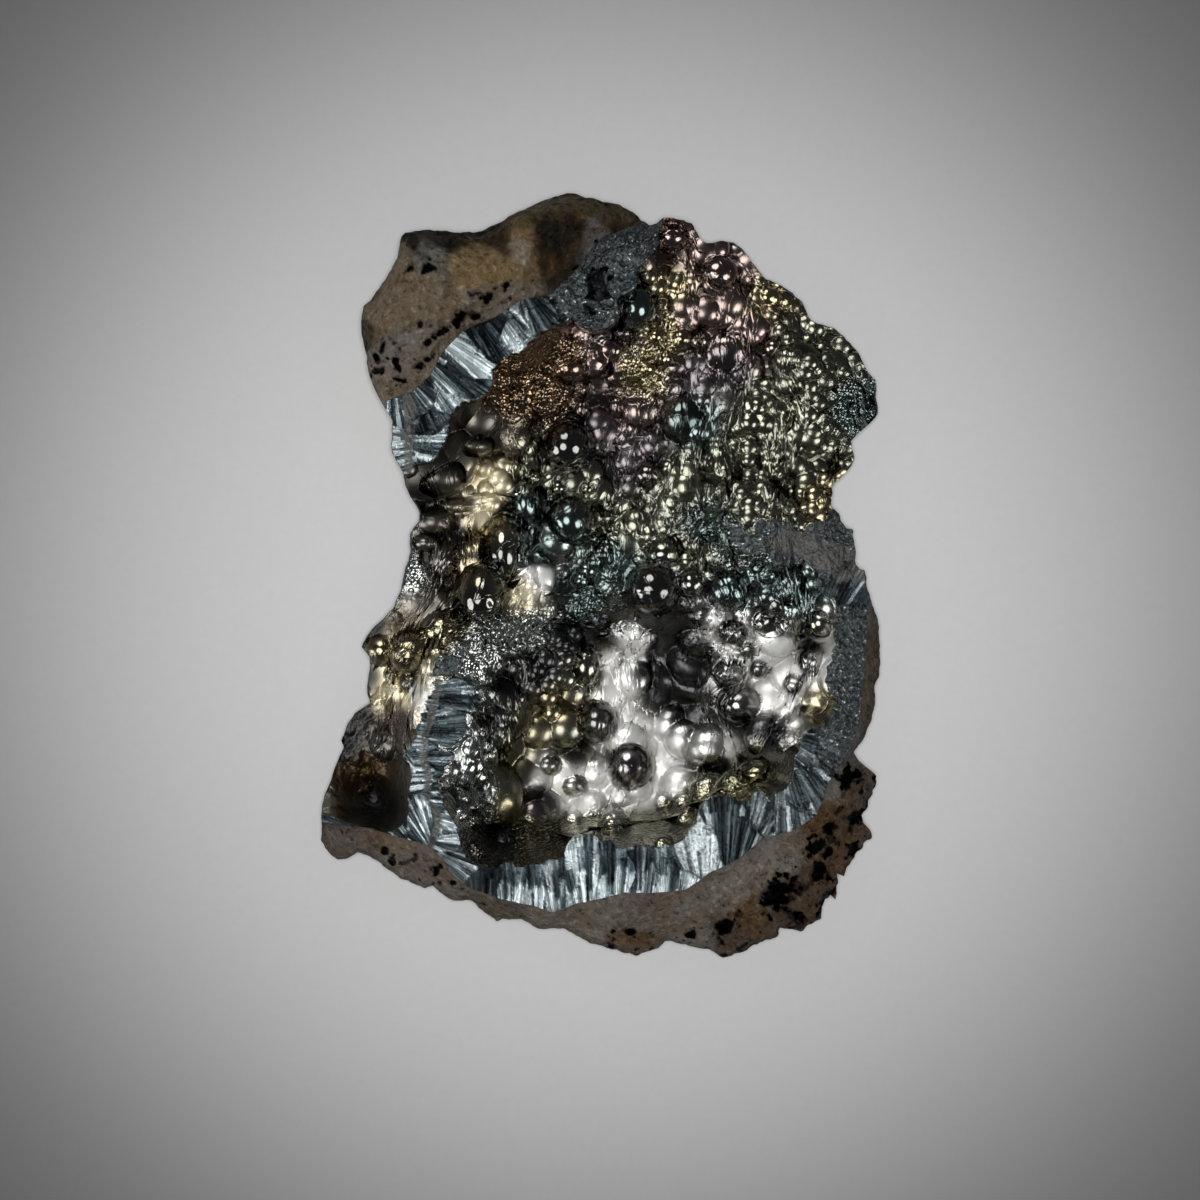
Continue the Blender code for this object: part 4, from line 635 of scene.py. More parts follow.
def core_share(x, y):
    """1 on the brown cores and 0 beside them, from the distance to each stretch of their lines."""
    share = np.zeros(np.shape(x))
    uneven = 1.0 + 0.5 * ripple(x, y, 0.0 * x, 1.3, 67)
    for line, width in zip(CORES, CORE_WIDTHS):
        for (ax, ay), (bx, by) in zip(line[:-1], line[1:]):
            length = math.hypot(bx - ax, by - ay)
            on_line = np.clip(((x - ax) * (bx - ax) + (y - ay) * (by - ay)) / length ** 2, 0.0, 1.0)
            away = np.hypot(x - ax - on_line * (bx - ax), y - ay - on_line * (by - ay))
            share = np.maximum(share, mask(width * 1.3, width * 0.7, away * uneven))
    return share


# Bubbles of the skin, from domes to small ones: widths of their cells, and how round they are. They
# stray from the middles of their cells, stand on the skin and leave gaps, all in shares of their width.
BUBBLE_SIZES = (6.4, 4.0, 2.8, 1.8)
BUBBLE_ROUND = (0.55, 0.62, 0.62, 0.66)
BUBBLE_STRAY, BUBBLE_STANDS, BUBBLE_GAP = 0.46, 0.10, 0.30
BUBBLE_TURN = 0.5       # turn of the cells of each size against those of the size before, in radians
BALL_CLEARS = 2.5       # how far bubbles sink where they would lie on a bare ball
GAP_PAINTED_SHADE = 0.5       # painted shade: share of the tarnish's colour lost in the gaps between bubbles
BALL_DARKENS, BALL_SMOOTHS = 0.75, 0.45     # shares of colour and roughness lost on a bare ball; the colour only on the pale skin's painted glare
FOAM_HALF = 66.0


def turned(x, y, angle):
    """Point turned anticlockwise about the middle of the face."""
    return x * math.cos(angle) - y * math.sin(angle), x * math.sin(angle) + y * math.cos(angle)


def bubble_lattice(k, below):
    """One bubble in each cell of a lattice over the face: middle, half-width, and top on the skin below.

    The share of cells that have a bubble is the share that the relief has of bubbles of this size.
    """
    size, seed = BUBBLE_SIZES[k], 11 + 10 * k
    count = int(2.0 * FOAM_HALF / size) + 1
    i, j = np.meshgrid(np.arange(count), np.arange(count), indexing="ij")
    cell = (i, j, 0 * i)
    strays = [BUBBLE_STRAY * (2.0 * scatter(cell, seed + n) - 1.0) for n in (0, 1)]
    middles = [size * (number + 0.5 + stray) - FOAM_HALF for number, stray in zip((i, j), strays)]
    at_x, at_y = turned(*middles, BUBBLE_TURN * k)
    height, bare_here = below(at_x, at_y)
    share = spread(RELIEF_PLACES, RELIEF, at_x, at_y)[..., k] * (1.0 - bare_here)
    half = size * (0.60 + 0.25 * scatter(cell, seed + 2))
    top = np.where(scatter(cell, seed + 3) < share, height + BUBBLE_STANDS * size, -100.0)
    return at_x, at_y, half, top


def foam(k, lattice, x, y):
    """Height of the outermost bubble of one size: top - roundness * (r - sqrt(r^2 - d^2))."""
    i, j = (np.floor((axis + FOAM_HALF) / BUBBLE_SIZES[k]).astype(np.int64)
            for axis in turned(x, y, -BUBBLE_TURN * k))
    height = np.full(np.shape(x), -100.0)
    for step_i in (-1, 0, 1):
        for step_j in (-1, 0, 1):
            near_i, near_j = (np.clip(axis, 0, len(lattice[0]) - 1) for axis in (i + step_i, j + step_j))
            at_x, at_y, half, top = (table[near_i, near_j] for table in lattice)
            inside = half ** 2 - (x - at_x) ** 2 - (y - at_y) ** 2
            cap = top - BUBBLE_ROUND[k] * (half - np.sqrt(np.clip(inside, 0.0, None)))
            height = np.maximum(height, np.where(inside > 0.0, cap, -100.0))
    return height


def plain_skin(x, y):
    """Skin with nothing on it, none of it bare."""
    return spot_surface(SKIN, x, y), 0.0


dome_lattice = bubble_lattice(0, plain_skin)


def domed_skin(x, y):
    """Skin with its domes and globes but without its bubbles, and how bare it is."""
    share = spread(RELIEF_PLACES, RELIEF, x, y)[..., 0]
    gap = 0.5 * BUBBLE_GAP * BUBBLE_SIZES[0] * share
    plain = spot_surface(SKIN, x, y)
    return with_globes(np.maximum(plain - gap, foam(0, dome_lattice, x, y)), plain, x, y)


# The sheet of the crust. Its lines are drawn closer together where the face is steep, then it is
# raised by its bubbles where the skin is whole and by its fibres where it is broken.
u, v = np.meshgrid(np.linspace(-1.0, 1.0, CRUST_LINES[0] + 1), np.linspace(-1.0, 1.0, CRUST_LINES[1] + 1))
EVENNESS = 0.7
for steps in range(2):
    x, y = crust_plan(u, v)
    z = face_height(x, y)
    if steps == 0:
        lengths = np.sqrt(np.diff(x, axis=1) ** 2 + np.diff(y, axis=1) ** 2 + np.diff(z, axis=1) ** 2)
        u = np.array([even_out(line, length, EVENNESS) for line, length in zip(u, lengths)])
    else:
        lengths = np.sqrt(np.diff(x, axis=0) ** 2 + np.diff(y, axis=0) ** 2 + np.diff(z, axis=0) ** 2)
        v = np.array([even_out(line, length, EVENNESS) for line, length in zip(v.T, lengths.T)]).T
x, y = crust_plan(u, v)
skin, bare = domed_skin(x, y)
broken = spot_surface(BREAK, x, y)
tarnish_and_painted_light = spread(TARNISH_AND_GLARE_PLACES, TARNISH_AND_GLARE, x, y)
# a bare ball is darker than the pale skin, whose brightness is painted highlight, and smoother than that or
# glossy skin
painted_glare = mask(0.30, 0.50, tarnish_and_painted_light[..., 1])
tarnish_and_painted_light[..., :3] *= 1.0 - BALL_DARKENS * (bare * painted_glare)[..., None]
glossy = np.maximum(painted_glare, mask(0.30, 0.26, tarnish_and_painted_light[..., 3]))
tarnish_and_painted_light[..., 3] *= 1.0 - BALL_SMOOTHS * bare * glossy
relief = spread(RELIEF_PLACES, RELIEF, x, y)
small_kinds = range(1, len(BUBBLE_SIZES))
sunk_between = np.max([relief[..., k] * BUBBLE_SIZES[k] for k in small_kinds], axis=0) * (1.0 - bare)
bubbly = np.max([foam(k, bubble_lattice(k, domed_skin), x, y) for k in small_kinds], axis=0)
floor_between = skin - BUBBLE_GAP * sunk_between
bubbly = bubbly - BALL_CLEARS * mask(0.6, 1.0, bare)
# painted shade in the gaps between bubbles, where the floor between them shows
painted_gap_shade = mask(0.20, -0.05, bubbly - floor_between) * mask(1.2, 2.0, sunk_between) * (1.0 - painted_glare)
tarnish_and_painted_light[..., :3] *= 1.0 - GAP_PAINTED_SHADE * painted_gap_shade[..., None]
skin = np.maximum(floor_between, bubbly)
skin = skin + (HAMMER * relief[..., 4] * rough(x, y, 0.3 * skin, 1.0, 2, 71) +
               WRINKLE * relief[..., 6] * rough(0.3 * x, y, 0.5 * skin, 0.9, 3, 75)) * (1.0 - 0.8 * bare)
pimples = relief[..., 5] * (1.0 - bare)
from_rock = ring_radius(CONTACT_RADIUS, np.arctan2(y, x)) - np.hypot(x, y)
fibre_height, along, distance, fan, bright = fibres(x, y, from_rock)
broken = broken + fibre_height - pore_depth(x, y)
left_whole = broken - skin
crust = np.stack([x, y, np.minimum(skin, broken)], axis=2)
crust_normals = normals_of(crust)


UNDER_STEP = 10         # lines of the sheet to each line of its hidden underside
UNDER_GAP = 1.2         # least thickness of the crust


def lowest_near(height, reach):
    """Lowest height within reach lines of each point of a grid."""
    for axis in (0, 1):
        padded = np.pad(height, [(reach, reach) if axis == k else (0, 0) for k in (0, 1)], mode="edge")
        windows = np.lib.stride_tricks.sliding_window_view(padded, 2 * reach + 1, axis=axis)
        height = windows.min(axis=2)
    return height


def put_piece(name, spots, square, faces, values):
    """A piece from its points in millimetres, their normals, blocks of faces and values of each point."""
    mesh = bpy.data.meshes.new(name)
    sizes = np.concatenate([np.full(len(block), block.shape[1]) for block in faces])
    corners = np.concatenate([block.ravel() for block in faces])
    mesh.vertices.add(len(spots))
    mesh.vertices.foreach_set("co", (spots * MM).astype(np.float32).ravel())
    mesh.loops.add(len(corners))
    mesh.loops.foreach_set("vertex_index", corners.astype(np.int32))
    mesh.polygons.add(len(sizes))
    mesh.polygons.foreach_set("loop_start", (np.cumsum(sizes) - sizes).astype(np.int32))
    mesh.update(calc_edges=True)
    mesh.shade_smooth()
    mesh.normals_split_custom_set_from_vertices(square)
    kinds = {1: ("FLOAT", "value"), 3: ("FLOAT_VECTOR", "vector"), 4: ("FLOAT_COLOR", "color")}
    for label, numbers in values.items():
        kind, field = kinds[numbers.shape[1]]
        attribute = mesh.attributes.new(label, kind, "POINT")
        attribute.data.foreach_set(field, numbers.astype(np.float32).ravel())
    piece = bpy.data.objects.new(name, mesh)
    bpy.context.scene.collection.objects.link(piece)
    return piece


def strips(first, second):
    """Faces between matching lines of points, each a quad with a corner on either line."""
    return np.stack([first[:, :-1], second[:, :-1], second[:, 1:], first[:, 1:]], axis=2).reshape(-1, 4)


def crust_slab(name, rows, columns):
    """One closed quarter of the crust: its part of the sheet, a coarse underside, and walls round both.

    Each edge of the sheet's rim is joined to the nearer end of the underside's edge behind it.
    """
    top = crust[rows, columns].reshape(-1, 3)
    under = np.stack([x, y, under_height], axis=2)[rows, columns][::UNDER_STEP, ::UNDER_STEP]
    shape = (rows.stop - rows.start, columns.stop - columns.start)
    fine = np.arange(len(top)).reshape(shape)
    coarse = len(top) + np.arange(under.shape[0] * under.shape[1]).reshape(under.shape[:2])
    rims = [np.concatenate([grid[0, :-1], grid[:-1, -1], grid[-1, :0:-1], grid[:0:-1, 0]])
            for grid in (fine, coarse)]
    places = np.arange(len(rims[0]))
    nearer = rims[1][(places + UNDER_STEP // 2) // UNDER_STEP % len(rims[1])]
    fan_faces = np.stack([rims[0], nearer, np.roll(rims[0], -1)], axis=1)
    middles = rims[0][UNDER_STEP // 2::UNDER_STEP]
    closing = np.stack([middles, rims[1], np.roll(rims[1], -1)], axis=1)
    faces = [strips(fine[:-1], fine[1:])[:, ::-1], strips(coarse[:-1], coarse[1:]), fan_faces, closing]
    spots = np.concatenate([top, under.reshape(-1, 3)])
    downwards = np.tile([0.0, 0.0, -1.0], (under.shape[0] * under.shape[1], 1))
    square = np.concatenate([crust_normals[rows, columns].reshape(-1, 3), downwards])
    values = {label: np.concatenate([numbers[rows, columns].reshape(len(top), -1),
                                     np.zeros((len(downwards), numbers.shape[2]))])
              for label, numbers in crust_values.items()}
    return put_piece(name, spots, square, faces, values)


under_height = lowest_near(crust[..., 2], UNDER_STEP) - UNDER_GAP
crust_values = {"tarnish_and_painted_light": tarnish_and_painted_light, "state": np.stack([left_whole, bright, pimples], axis=2),
                "grain": np.stack([along, distance, fan], axis=2), "core": core_share(x, y)[..., None]}


def add_node(tree, kind, inputs=None, **settings):
    """A shader node with its settings, and its inputs as values or as the outputs of other nodes."""
    node = tree.nodes.new(kind)
    for label, setting in settings.items():
        setattr(node, label, setting)
    for label, source in (inputs or {}).items():
        if isinstance(source, bpy.types.NodeSocket):
            tree.links.new(source, node.inputs[label])
        else:
            node.inputs[label].default_value = source
    return node


def blend_colours(tree, share, first, second):
    """Colour from the first to the second as the share goes from 0 to 1."""
    return add_node(tree, "ShaderNodeMix", {0: share, 6: first, 7: second}, data_type="RGBA").outputs[2]


def blend_numbers(tree, share, first, second):
    """Number from the first to the second as the share goes from 0 to 1."""
    return add_node(tree, "ShaderNodeMix", {0: share, 2: first, 3: second}, data_type="FLOAT").outputs[0]


def remap(tree, value, low, high, to_low=0.0, to_high=1.0, eased=True):
    """Value mapped from one range to another, and held at its ends."""
    node = add_node(tree, "ShaderNodeMapRange", {0: value, 1: low, 2: high, 3: to_low, 4: to_high},
                    interpolation_type="SMOOTHSTEP" if eased else "LINEAR")
    return node.outputs[0]


def maths(tree, operation, *values):
    """Result of a Math node."""
    return add_node(tree, "ShaderNodeMath", dict(enumerate(values)), operation=operation).outputs[0]


def new_material(name):
    """Material with its node tree and its shader."""
    material = bpy.data.materials.new(name)
    material.use_nodes = True
    return material, material.node_tree, material.node_tree.nodes["Principled BSDF"]


# Colours of the silky fibres from dark to bright, of the gritty break, of the skin's clouds and of the
# cores, then the shape of the tiniest bubbles: square of the half-width in cells, metres high to a cell
STEEL = ((0.010, 0.014, 0.017, 1.0), (0.085, 0.118, 0.130, 1.0), (0.84, 0.93, 0.95, 1.0))
GRITTY = (0.100, 0.114, 0.116, 1.0)
CLOUDED = (0.055, 0.055, 0.058, 1.0)
CORE_COLOUR = (0.078, 0.078, 0.073, 1.0)
PIMPLE_REACH, PIMPLE_SCALE = 0.45, 0.00042

material, tree, shader = new_material("goethite")
tarnish_and_painted_light_node = add_node(tree, "ShaderNodeAttribute", attribute_name="tarnish_and_painted_light")
state = add_node(tree, "ShaderNodeAttribute", attribute_name="state").outputs["Vector"]
state = add_node(tree, "ShaderNodeSeparateXYZ", {0: state}).outputs
grain = add_node(tree, "ShaderNodeAttribute", attribute_name="grain").outputs["Vector"]
objects = add_node(tree, "ShaderNodeTexCoord").outputs["Object"]
is_broken = remap(tree, state[0], 0.03, -0.03)

# fibres: long streaks down each blade over the blade's own brightness
stretched = add_node(tree, "ShaderNodeMapping", {0: grain, 3: (4.0, 0.30, 1.0)}).outputs[0]
streaks = add_node(tree, "ShaderNodeTexNoise", {0: stretched, "Scale": 1.0, "Detail": 3.0}).outputs[0]
specks = add_node(tree, "ShaderNodeTexNoise", {0: objects, "Scale": 2200.0, "Detail": 3.0}).outputs[0]
silky = remap(tree, add_node(tree, "ShaderNodeSeparateXYZ", {0: grain}).outputs[2], 0.3, 0.7)
streak = blend_numbers(tree, silky, specks, streaks)
shine = maths(tree, "ADD", maths(tree, "MULTIPLY", state[1], 0.8),
              maths(tree, "MULTIPLY", maths(tree, "SUBTRACT", streak, 0.5), 0.7))
steel_middle = blend_colours(tree, silky, GRITTY, STEEL[1])
steel_low = blend_colours(tree, remap(tree, shine, 0.0, 0.45), STEEL[0], steel_middle)
steel = blend_colours(tree, remap(tree, shine, 0.40, 0.95), steel_low, STEEL[2])
glints = maths(tree, "MULTIPLY", remap(tree, specks, 0.64, 0.72), remap(tree, silky, 1.0, 0.0))
steel = blend_colours(tree, glints, steel, STEEL[2])

# skin: the tarnish with its painted glare and painted gap shade, broken up a little
cloud = add_node(tree, "ShaderNodeTexNoise", {0: objects, "Scale": 400.0, "Detail": 3.0}).outputs[0]
mottled = blend_colours(tree, remap(tree, cloud, 0.35, 0.65, 0.0, 0.25), tarnish_and_painted_light_node.outputs["Color"],
                        CLOUDED)
core = add_node(tree, "ShaderNodeAttribute", attribute_name="core").outputs["Fac"]
core = maths(tree, "MULTIPLY", core, remap(tree, specks, 0.35, 0.5, 0.5, 1.0))
steel = blend_colours(tree, core, steel, CORE_COLOUR)
tree.links.new(blend_colours(tree, is_broken, mottled, steel), shader.inputs["Base Color"])
# the pale skin of painted glare is part matt, so that it is bright from every side: a painted highlight
painted_glare_green = add_node(tree, "ShaderNodeSeparateColor", {0: mottled}).outputs[1]
skin_metal = remap(tree, painted_glare_green, 0.40, 0.75, 1.0, 0.52)
fibre_metal = remap(tree, core, 0.0, 1.0, 0.8, 0.1)
tree.links.new(blend_numbers(tree, is_broken, skin_metal, fibre_metal), shader.inputs["Metallic"])
skin_rough = maths(tree, "ADD", tarnish_and_painted_light_node.outputs["Alpha"], remap(tree, cloud, 0.3, 0.7, -0.03, 0.04))
fibre_rough = maths(tree, "SUBTRACT", remap(tree, streak, 0.3, 0.7, 0.34, 0.50),
                    remap(tree, silky, 1.0, 0.0, 0.0, 0.10))
tree.links.new(blend_numbers(tree, is_broken, skin_rough, fibre_rough), shader.inputs["Roughness"])

# tiniest bubbles of the skin: round caps on the cells of a Voronoi texture, in metres high
cell = add_node(tree, "ShaderNodeTexVoronoi", {0: objects, "Scale": 1300.0}).outputs["Distance"]
inside_cap = maths(tree, "SUBTRACT", PIMPLE_REACH, maths(tree, "POWER", cell, 2.0))
cap = maths(tree, "SQRT", maths(tree, "MAXIMUM", inside_cap, 0.0))
cap = maths(tree, "MULTIPLY", maths(tree, "MULTIPLY", cap, state[2]), PIMPLE_SCALE)
skin_lift = maths(tree, "ADD", cap, maths(tree, "MULTIPLY", specks, 0.00001))
fibre_lift = maths(tree, "MULTIPLY", streak, remap(tree, silky, 0.0, 1.0, 0.00045, 0.00007, False))
lift = blend_numbers(tree, is_broken, skin_lift, fibre_lift)
bump = add_node(tree, "ShaderNodeBump", {"Strength": 1.0, "Distance": 1.0, "Height": lift})
tree.links.new(bump.outputs[0], shader.inputs["Normal"])

half_rows, half_columns = CRUST_LINES[1] // 2, CRUST_LINES[0] // 2
ROW_PARTS = {"lower": slice(0, half_rows + 1), "upper": slice(half_rows, 2 * half_rows + 1)}
COLUMN_PARTS = {"left": slice(0, half_columns + 1), "right": slice(half_columns, 2 * half_columns + 1)}
for level, rows in ROW_PARTS.items():
    for side, columns in COLUMN_PARTS.items():
        slab = crust_slab(f"crust_{level}_{side}", rows, columns)
        slab.data.materials.append(material)
        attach(slab, "root")
        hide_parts("goethite_crust")

# The limonite rock. Iron-stained, porous and dull, it is what the goethite grew on: one lump, broken
# across above and worn rough on its sides and back, lying on its back.

# Looks of the rock: colour, height of its lumps and of its grain, share of it taken up by pores
ROCK = {
    "taupe": (0.128, 0.100, 0.068, 0.35, 0.26, 0.30), "tan": (0.165, 0.115, 0.056, 0.40, 0.28, 0.20),
    "pored": (0.118, 0.100, 0.080, 0.40, 0.24, 0.80), "dark": (0.006, 0.005, 0.003, 0.60, 0.40, 0.30),
    "olive": (0.058, 0.043, 0.018, 0.60, 0.34, 0.10), "brown": (0.080, 0.066, 0.050, 0.55, 0.30, 0.70),
    "clay": (0.128, 0.114, 0.096, 0.40, 0.24, 0.25), "rusty": (0.085, 0.052, 0.026, 0.80, 0.36, 0.90),
    "cavern": (0.070, 0.048, 0.032, 1.10, 0.50, 1.10), "grey": (0.075, 0.081, 0.083, 0.20, 0.22, 0.25),
    "sparkly": (0.105, 0.098, 0.078, 0.50, 0.45, 0.60)}
ROCK_PLACES = (
    (-28, 33, "taupe"), (-25, 37, "taupe"), (-20, 36.5, "taupe"), (-23, 34, "taupe"), (-14, 39, "tan"),
    (-17, 39, "tan"), (-21, 41.5, "sparkly"), (-23, 41, "sparkly"), (-18, 43.8, "dark"), (-24, 43.8, "dark"),
    (-13, 44, "dark"), (-10, 46, "olive"), (-3, 47.5, "olive"), (3, 47, "olive"), (-10, 40, "tan"),
    (-21, 43.6, "dark"), (-15, 43.2, "dark"), (-19.4, 42.9, "dark"), (-23.6, 43.0, "dark"),
    (-12.6, 43.6, "dark"), (-18, 41.0, "tan"), (-25.6, 41.6, "taupe"),
    (-15, 41.6, "tan"), (-7.4, 40.6, "dark"), (-6, 43, "dark"), (-11, 43.4, "tan"), (-4, 45, "dark"),
    (0, 43.6, "grey"), (2, 45.6, "dark"), (-26, 26, "pored"), (-24, 29.5, "pored"),
    (-28, 29, "pored"), (-20.5, 31.8, "pored"), (-17, 34, "pored"), (-14, 35.8, "pored"), (-27, 21, "taupe"),
    (-28, 24, "taupe"), (-30, 31, "dark"), (-34, -35, "brown"), (-30, -34.5, "brown"), (-26, -37, "pored"),
    (-21, -39, "pored"), (-13, -43.5, "brown"), (-6, -45, "clay"), (0, -44, "clay"), (5, -43.5, "clay"),
    (4, -47.5, "rusty"), (11, -42.5, "clay"), (12, -46.5, "pored"), (17, -47, "cavern"), (20, -44, "rusty"),
    (17, -41, "clay"), (20, -38, "clay"), (23, -42, "cavern"), (27, -40, "cavern"), (24, -35, "clay"),
    (29, -35, "cavern"), (32, -36, "rusty"), (33, -31, "cavern"), (33, -27, "cavern"), (29, -31, "rusty"),
    (30, -26.5, "clay"), (33, -22, "grey"), (35.6, -18, "brown"), (35.8, -10, "brown"), (34.8, -4, "grey"),
    (34, 2, "grey"), (34, 22, "dark"), (30, 32, "dark"), (18, 43, "dark"), (9, 46, "dark"), (31, 10, "dark"),
    (-28, 12, "dark"), (-26, 0, "dark"), (-31, -9, "dark"), (-32, -19, "dark"), (-36, -29, "dark"))

# Lumps that stand on the rock's broken face: place, half-width across, half-width up, rise
LUMPS = np.array([
    (-8.5, 46.4, 5.0, 2.6, 1.5), (-1.0, 47.4, 6.5, 2.8, 1.8), (-10.2, 40.2, 2.9, 3.1, 0.8),
    (-18.5, 43.9, 5.0, 1.4, 0.5), (-25.5, 35.0, 3.0, 3.0, 0.4)])
LUMPS_SINK = 0.7        # how far the lumpy face is set down, so that its highest lumps keep the height


PORE_LEVEL, PORE_WALL = (1.25, 1.05), 0.3   # level for no pores, its fall for all, height of a wall


def eaten(x, y, z, size, share, seed):
    """1 in irregular pores and 0 between them: where ripples on ripples pass a level set by the share."""
    level = PORE_LEVEL[0] - PORE_LEVEL[1] * share
    return mask(level, level + PORE_WALL, rough(x, y, z, size, 3, seed))


# Lines round the rock lie close together where its broken face shows, and wider elsewhere
ROCK_COLUMNS = 1400
FACE_ROWS, SIDE_ROWS = 60, 26
SHOWN = ((75, 155), (210, 380))     # bearings between which the rock's broken face shows
SPARSE = 0.35
OVERLAP = 0.12                      # how far the rock reaches in under the crust's border
POCKET_DEPTH = 3.4
POCKET_SHARES = (0.25, 0.5, 0.75, 0.9, 1.0)     # rings of the pocket, in shares of its reach
NEAR_COLUMNS = 25                   # the pocket stays below the face so many columns to either side too
PITS = ((2.8, 0.4), (1.1, 0.15))    # widths of the face's pits, and how much rarer than the look says
PIT_LIMIT = 2.2                     # greatest depth of the pits together
SIDE_PITS, SIDE_PITTED = (3.2, 1.5), 0.62   # widths of the side's pits, and the share that they take up
BORDER_PAINTED_SHADE = 0.45                 # painted shade along the border, where the face rounds over: how far it darkens, as if it were a pit so deep
SIDE_PROFILE = np.array([(0.0, 9.5), (0.12, 5.4), (0.38, 1.8), (0.72, 0.4), (1.0, 0.0)])
SIDE_WAVES = ((7, 0.5), (12, 0.4), (19, 0.25))
SIDE_DRIFT = 9.0

bearing = np.degrees(FINE_ANGLES)
shown = sum(mask(low - 4, low, bearing + turn) * mask(high + 4, high, bearing + turn)
            for low, high in SHOWN for turn in (0, 360))
steps = np.hypot(np.roll(AROUND[0], -1) - AROUND[0], np.roll(AROUND[1], -1) - AROUND[1])
crowd = np.concatenate([[0.0], np.cumsum(steps * (SPARSE + (1.0 - SPARSE) * shown))])
column_share = np.linspace(0.0, 1.0, ROCK_COLUMNS + 1)
angle = np.interp(column_share, crowd / crowd[-1], np.append(FINE_ANGLES, math.tau))
outer = ring_radius(OUTLINE_RADIUS, angle)
contact = ring_radius(CONTACT_RADIUS, angle)
inner = contact - OVERLAP
back = ring_radius(BACK_RADIUS, angle)

# pocket: from beside the middle out to the contact, well below the crust's face
pocket_reach = np.array(POCKET_SHARES)[:, None] * inner
pocket_z = face_height(pocket_reach * np.cos(angle), pocket_reach * np.sin(angle))
near = np.min([np.roll(pocket_z, NEAR_COLUMNS * step, axis=1) for step in (-1, 0, 1)], axis=0)
near = np.minimum(near, np.minimum(np.roll(near, 1, axis=0), np.roll(near, -1, axis=0)))
pocket_z = near - POCKET_DEPTH

# broken face: from the contact out to the border, which it rounds over
EDGE_DROP, EDGE_ROUND = 1.2, 1.6
shown_here = np.interp(angle, np.append(FINE_ANGLES, math.tau), np.append(shown, shown[0]))
face_share = np.linspace(0.0, 1.0, FACE_ROWS)[:, None]
face_reach = inner + face_share * (outer - inner)
fx, fy = face_reach * np.cos(angle), face_reach * np.sin(angle)
fz = face_height(fx, fy)
wander = ripple(fx, fy, 0.0 * fx, 2.6, 87)
look = spread(ROCK_PLACES, ROCK, fx + wander, fy - wander, 4)
for at_x, at_y, half_x, half_y, rise in LUMPS:
    inside = 1.0 - ((fx - at_x) / half_x) ** 2 - ((fy - at_y) / half_y) ** 2
    fz = fz + rise * np.sqrt(np.clip(inside, 0.0, None))
settled = mask(0.0, 1.2, face_reach - inner)
lumpy = 0.7 * look[..., 3] * craggy(fx, fy, fz, 4.2, 4, 91) + look[..., 4] * craggy(fx, fy, fz, 1.1, 3, 95)
to_border = outer - face_reach
lumpy = lumpy - EDGE_DROP * mask(EDGE_ROUND, 0.0, to_border) * shown_here - LUMPS_SINK
pits = sum(0.7 * size * eaten(fx, fy, 0.5 * fz, size, look[..., 5] - fewer, 101 + 5 * k)
           for k, (size, fewer) in enumerate(PITS))
sunk = np.minimum(pits, PIT_LIMIT) * settled + pore_depth(fx, fy)
fz = fz + lumpy * (0.3 + 0.7 * settled) - sunk

# side: from the border down to the foot, worn back and hollowed, then in under the back
side_share = np.linspace(1.0, 0.0, SIDE_ROWS + 1)[1:, None]
drawn_in = np.interp(side_share, *SIDE_PROFILE.T)
hollows = sum(half * (1.0 + np.sin(waves * angle + waves + SIDE_DRIFT * side_share))
              for waves, half in SIDE_WAVES)
side_reach = np.minimum(side_share * outer + (1.0 - side_share) * back, outer) - drawn_in
side_reach = side_reach - hollows * 4.0 * side_share * (1.0 - side_share)
side_z = side_share * fz[-1]
sx, sy = side_reach * np.cos(angle), side_reach * np.sin(angle)
side_rough = (1.0 - side_share) * side_share * 4.0
side_pits = sum(0.6 * size * eaten(sx, sy, side_z, size, SIDE_PITTED, 111 + 5 * k)
                for k, size in enumerate(SIDE_PITS))
side_reach = side_reach - side_rough * (0.8 - 0.8 * craggy(sx, sy, side_z, 6.0, 4, 121) + 0.7 * side_pits)
foot_share = np.array([0.85, 0.5])[:, None]
foot_reach = foot_share * side_reach[-1]

reach = np.concatenate([pocket_reach, face_reach, side_reach, foot_reach])
height = np.concatenate([pocket_z, fz, side_z, 0.0 * foot_reach])
rock = np.stack([reach * np.cos(angle), reach * np.sin(angle), height], axis=2)
round_rock = np.concatenate([rock[:, -4:-1], rock, rock[:, 1:4]], axis=1)
rock_normals = -normals_of(round_rock)[:, 3:-3]
wander = ripple(rock[..., 0], rock[..., 1], 0.0 * rock[..., 0], 2.6, 87)
rock_look = spread(ROCK_PLACES, ROCK, rock[..., 0] + wander, rock[..., 1] - wander, 4)
# painted shade: darker with the depth of pits and pores, and along the border where the face rounds over
shade = sunk + BORDER_PAINTED_SHADE * shown_here * mask(1.8, 0.1, to_border + 0.5 * ripple(fx, fy, fz, 1.5, 85))
painted_shade_depth = np.concatenate([0.0 * pocket_reach, shade, side_rough * side_pits, 0.0 * foot_reach])
below_skin = np.concatenate([np.zeros((len(pocket_reach) + FACE_ROWS, 1)) + 0.0 * angle,
                             (1.0 - side_share) * fz[-1], 40.0 + 0.0 * foot_reach])
rock_values = {"look": np.concatenate([rock_look[..., :3], painted_shade_depth[..., None]], axis=2),
               "crust_edge": ((1.0 - shown_here) * mask(5.0, 3.5, below_skin))[..., None]}


